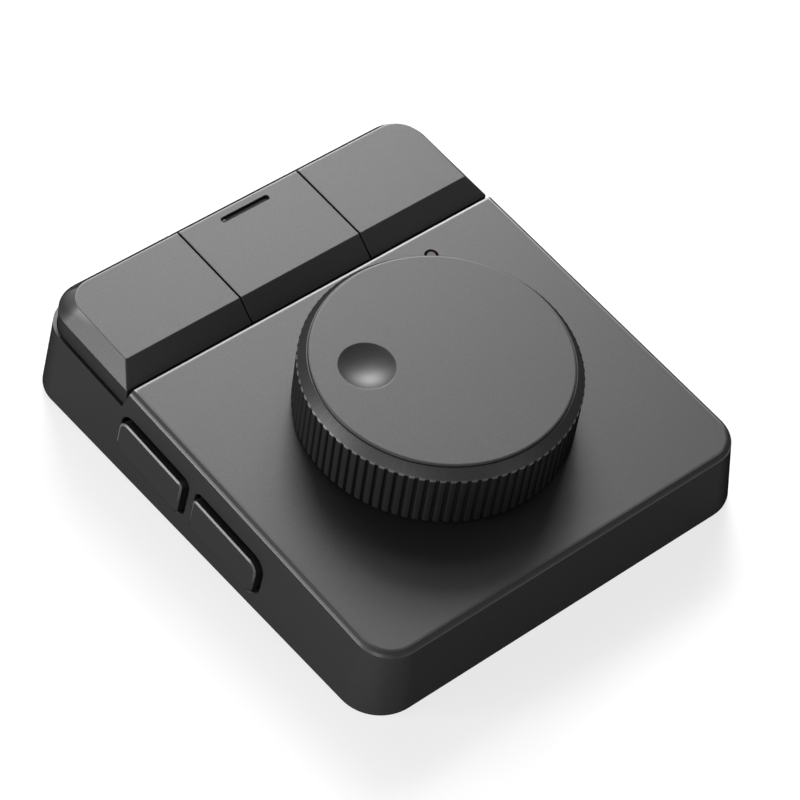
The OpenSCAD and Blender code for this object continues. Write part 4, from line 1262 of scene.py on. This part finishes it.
@dataclass
class Knob(Assembly):
    """The knob: a ribbed grip ring and a face disc with a finger dimple.

    A rib's section gives places across its pitch and how far the rib rises there. The foot's gives
    heights above the foot, and how far the grooves and the ribs stay in there. The end's gives how
    far the grooves' floor comes out, and heights above the ribs' top.
    """

    y: float = 34.25
    grip_r: float = 23.1
    rib_depth: float = 0.5
    ribs: int = 88
    rib_section: tuple[Point2, ...] = (
        (0.0, 0.0), (0.09, 0.02), (0.13, 0.35), (0.17, 0.75), (0.23, 0.93), (0.33, 1.0),
        (0.5, 1.0), (0.67, 1.0), (0.77, 0.93), (0.83, 0.75), (0.87, 0.35), (0.91, 0.02),
    )
    foot_section: tuple[tuple[float, float, float], ...] = (
        (0.0, 0.16, 0.3), (0.04, 0.06, 0.14), (0.14, 0.0, 0.05), (0.34, 0.0, 0.0),
    )
    end_section: tuple[Point2, ...] = ((0.0, -0.2), (0.04, -0.1), (0.2, -0.04))
    foot: float = 0.6
    rib_top: float = 11.05
    tip_round: float = 0.3
    height: float = 13.2
    band_drop: float = 0.35
    band_round: float = 0.12
    lip: float = 0.15
    face_r: float = 21.45
    face_t: float = 2.8
    face_gap: float = 0.05
    face_round: float = 0.2
    brow_run: float = 0.4
    brow_drop: float = 0.06
    face_polish: float = 0.5
    bowl_polish: float = 0.6
    dimple_r: float = 4.7
    dimple_depth: float = 1.3
    dimple_offset: float = 12.3
    dimple_angle: float = 153.5
    dimple_round: float = 0.35
    dimple_steps: int = 14
    inner_r: float = 20.9
    rays: int = 256

    def _matrix(self) -> Matrix:
        """Frame on the knob's axis, at the deck's surface."""
        return self.deck.matrix() @ Matrix.Translation((0.0, self.y, 0.0))

    def _grip(self) -> None:
        """Builds the ribbed ring with its smooth band."""
        pitch = 2.0 * math.pi / self.ribs
        points = [((i + t) * pitch, rise) for i in range(self.ribs) for t, rise in self.rib_section]
        floor_r = self.grip_r - self.rib_depth
        band_top = self.height - self.band_drop
        inner_edge = self.face_r + self.face_gap
        band_r = inner_edge + self.lip
        slant = (self.grip_r - band_r) / (band_top - self.rib_top)

        def ribbed(groove: Point2, rib: Point2) -> Ring:
            """Ring that has one radius and height in the grooves and another on the ribs.

            Args:
                groove: Radius and height in the grooves.
                rib: Radius and height on the ribs.

            Returns:
                The ring.
            """
            ring = []
            for angle, rise in points:
                r = groove[0] + (rib[0] - groove[0]) * rise
                z = groove[1] + (rib[1] - groove[1]) * rise
                ring.append(Vector((r * math.cos(angle), r * math.sin(angle), z)))
            return ring

        def band(z: float) -> Point2:
            """Radius and height of the band's slanted face."""
            return (self.grip_r - (z - self.rib_top) * slant, z)

        seat, tip = (self.inner_r, self.foot), (self.grip_r, self.rib_top)
        levels = [(seat, seat)]
        for rise, groove_in, rib_in in self.foot_section:
            z = self.foot + rise
            levels.append(((floor_r - groove_in, z), (self.grip_r - rib_in, z)))
        under = self.rib_top - self.tip_round
        levels.append(((floor_r, under), (self.grip_r, under)))
        ends = [(floor_r + out, self.rib_top + up) for out, up in self.end_section]
        ends.append(band(self.rib_top + 0.1))
        edge = round_corner((self.grip_r, self.foot), tip, band(band_top), self.tip_round, 3)
        levels += zip(ends, edge)
        smooth = [band(self.rib_top + 0.3)]
        corner, inward = (band_r, band_top), (self.inner_r, band_top)
        smooth += round_corner(smooth[0], corner, inward, self.band_round, 3)
        seat_z = self.height - self.face_t
        smooth += [(inner_edge, band_top), (inner_edge, seat_z), (self.inner_r, seat_z)]
        rings = [ribbed(*level) for level in levels]
        rings += [ribbed(point, point) for point in smooth]
        ring = Solid("knob_ring", self._matrix()).loft(rings, loop=True).build()
        last = len(levels) - 1

        def on_tip(vert: Vert) -> bool:
            """Whether a vertex lies on the rounded upper end of a rib."""
            level, place = divmod(vert.index, len(points))
            return last - 3 <= level <= last and points[place][1] > 0.9

        # Marks the rib tips, which shine more and whose colour the grip's finish lightens as a
        # painted highlight.
        mark_gloss_and_highlight(ring, on_tip)
        self.finish(ring, "knob", "grip_plastic", "knob_ring")

    def _face(self) -> None:
        """Builds the face disc with its round dimple."""
        angle = math.radians(self.dimple_angle)
        centre = Vector((math.cos(angle), math.sin(angle))) * self.dimple_offset

        def about_axis(r: float, z: float) -> Ring:
            """Circle round the knob's axis, where rays from the dimple's middle meet it.

            Args:
                r: Its radius.
                z: Its height.

            Returns:
                The ring.
            """
            ring = []
            for ray in circle(0.0, 0.0, 1.0, 0.0, self.rays):
                out = centre.dot(ray.xy)
                along = -out + math.sqrt(out**2 - centre.length_squared + r * r)
                ring.append(Vector((*(centre + ray.xy * along), z)))
            return ring

        bowl_r = (self.dimple_r**2 + self.dimple_depth**2) / (2.0 * self.dimple_depth)
        middle = self.height - self.dimple_depth + bowl_r
        radii = [self.dimple_r * i / self.dimple_steps for i in range(1, self.dimple_steps)]
        bowl = [(r, middle - math.sqrt(bowl_r**2 - r * r)) for r in radii]
        rim, beyond = (self.dimple_r, self.height), (self.dimple_r + 2.0, self.height)
        bowl += round_corner(bowl[-1], rim, beyond, self.dimple_round, 4)
        flat = (self.face_r - self.brow_run, self.height)
        brow = (self.face_r, self.height - self.brow_drop)
        top = [flat, inner_row(flat, brow)]
        top += round_corner(flat, brow, (self.face_r, 0.0), self.face_round, 4)
        top.append((self.face_r, self.height - self.face_t))
        rings = [circle(centre.x, centre.y, r, z, self.rays) for r, z in bowl]
        rings += [about_axis(r, z) for r, z in top]
        face = Solid("knob_face", self._matrix()).loft(rings).build()

        def polish(vert: Vert) -> float:
            """How smooth the face is at a vertex: fingers polish its brow and the dimple.

            Args:
                vert: The vertex.

            Returns:
                Its smoothness, from 0 to 1.
            """
            ring = vert.index // self.rays - len(bowl)
            if ring < -1:
                return self.bowl_polish
            return self.face_polish if 1 <= ring <= 4 else 0.0

        mark_gloss_and_highlight(face, polish)
        self.finish(face, "knob", "knob_face_plastic", "knob_face")

    def build(self) -> None:
        """Builds and dresses the grip and the face."""
        self._grip()
        self._face()


# ---- pieces kept from the frame


@dataclass
class KeptPieces(Assembly):
    """The frame's own pieces that keep their shape and get a finish and soft edges."""

    edge: float = 0.12
    sharp: float = 40.0

    def build(self) -> None:
        """Dresses every node; those that a built piece stands for aren't shown."""
        slots = {part["node"]: part["material_slot"] for part in frame["record"]["subparts"]}
        for name, piece in frame["nodes"].items():
            self.dress(piece, slots[name])
            bevel = piece.modifiers.new("soft_edges", "BEVEL")
            bevel.width = self.edge * MM
            bevel.segments = 2
            bevel.limit_method = "ANGLE"
            bevel.angle_limit = math.radians(self.sharp)
            LOG.info("%s: kept from the frame", name)


# ---- stage, light and camera


@dataclass(frozen=True)
class Lamp:
    """One soft square studio lamp that points at the object, in metres, degrees and watts."""

    name: str
    azimuth: float
    elevation: float
    distance: float
    size: float
    power: float

    def build(self, target: Vector) -> None:
        """Adds the lamp.

        Args:
            target: What it points at, in metres.
        """
        data = bpy.data.lights.new(self.name, "AREA")
        data.shape = "SQUARE"
        data.size = self.size
        data.energy = self.power
        turn, rise = math.radians(self.azimuth), math.radians(self.elevation)
        flat = math.cos(rise)
        away = Vector((math.cos(turn) * flat, math.sin(turn) * flat, math.sin(rise)))
        lamp = linked(self.name, data)
        lamp.location = target + away * self.distance
        lamp.rotation_euler = away.to_track_quat("Z", "Y").to_euler()


@dataclass
class Studio:
    """Pale floor, pale surroundings, soft lamps and the camera, in metres."""

    lamps: tuple[Lamp, ...] = (
        Lamp("back_softbox", 55.0, 38.0, 0.8, 0.3, 6.3),
        Lamp("back_right", 40.0, 30.0, 0.8, 0.3, 2.9),
        Lamp("back_upper", 55.0, 54.0, 0.8, 0.3, 0.8),
        Lamp("back_near", 80.1, 42.6, 0.414, 0.2, 0.4),
        Lamp("right_near", 45.0, 33.4, 0.373, 0.2, 0.4),
        Lamp("left_low", 160.0, 16.0, 0.8, 0.35, 1.8),
        Lamp("left_edge", 150.0, 3.5, 0.8, 0.15, 4.4),
        Lamp("corner_low", 208.0, 5.0, 0.8, 0.15, 1.6),
        Lamp("front_low", 285.0, 12.0, 0.8, 0.3, 0.4),
    )
    target: tuple[float, float, float] = (0.0, 0.0, 0.015)
    fill: float = 0.05
    surround: float = 0.4
    floor_colour: float = 0.28
    floor_glow: float = 0.77
    floor_size: float = 3.0
    camera_place: tuple[float, float, float] = (-0.24225, -0.25881, 0.40473)
    camera_turn: tuple[float, float, float] = (41.7666, -3.5715, -39.4922)
    lens: float = 145.09

    def _seen(self, wires: Wires, unseen: float, seen: float) -> Socket:
        """Makes a level that differs between the rays that see a thing and those that light it.

        Args:
            wires: The tree that it goes into.
            unseen: The level for the rays that only carry light.
            seen: The level for camera, glossy and transmission rays.

        Returns:
            The level.
        """
        path = wires.node("ShaderNodeLightPath").outputs
        either = wires.math("MAXIMUM", path["Is Camera Ray"], path["Is Glossy Ray"])
        either = wires.math("MAXIMUM", either, path["Is Transmission Ray"])
        return wires.span(either, (0.0, 1.0), (unseen, seen))

    def _world(self) -> None:
        """Pale surroundings, with a lower level for what they shine on the object."""
        world = bpy.data.worlds.new("studio")
        world.use_nodes = True
        bpy.context.scene.world = world
        wires = Wires(world.node_tree)
        strength = self._seen(wires, self.fill, self.surround)
        backdrop = world.node_tree.nodes["Background"]
        wires.feed(backdrop, {"Color": WHITE, "Strength": strength})

    def _floor(self) -> None:
        """Pale floor that shows white and keeps a soft shadow."""
        half = self.floor_size / 2
        mesh = bpy.data.meshes.new("floor")
        corners = [(-half, -half, 0.0), (half, -half, 0.0), (half, half, 0.0), (-half, half, 0.0)]
        mesh.from_pydata(corners, [], [(0, 1, 2, 3)])
        material, wires, shader = plain_material("floor_paper")
        values = {
            "Base Color": (*[self.floor_colour] * 3, 1.0),
            "Roughness": 1.0,
            "Specular IOR Level": 0.0,
            "Emission Color": WHITE,
            "Emission Strength": self._seen(wires, 0.0, self.floor_glow),
        }
        wires.feed(shader, values)
        mesh.materials.append(material)
        linked("floor", mesh)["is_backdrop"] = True

    def _camera(self) -> None:
        """Long lens from the front left, high above the desk."""
        data = bpy.data.cameras.new("view")
        data.sensor_width = 36.0
        data.lens = self.lens
        data.clip_start = 0.01
        camera = linked("view", data)
        camera.location = self.camera_place
        camera.rotation_euler = [math.radians(a) for a in self.camera_turn]
        bpy.context.scene.camera = camera

    def build(self) -> None:
        """Builds the stage, the lamps and the camera."""
        self._world()
        self._floor()
        for lamp in self.lamps:
            lamp.build(Vector(self.target))
        self._camera()
        bpy.context.scene.view_settings.view_transform = "Standard"


def main() -> None:
    """Builds the whole keypad and its stage."""
    logging.basicConfig(level=logging.INFO, format="%(message)s")
    Studio().build()
    deck, materials = Deck(), Palette().make(Effects())
    row = KeyRow()
    buttons = SideButtons(deck, materials)
    Housing(deck, materials, row, buttons).build()
    KeySet(deck, materials, row).build()
    buttons.build()
    Knob(deck, materials).build()
    KeptPieces(deck, materials).build()
    boxes = {"cad": cad_box, "visual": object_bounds()}
    {name: [list(p) for p in box] for name, box in boxes.items()}


if __name__ == "__main__":
    main()
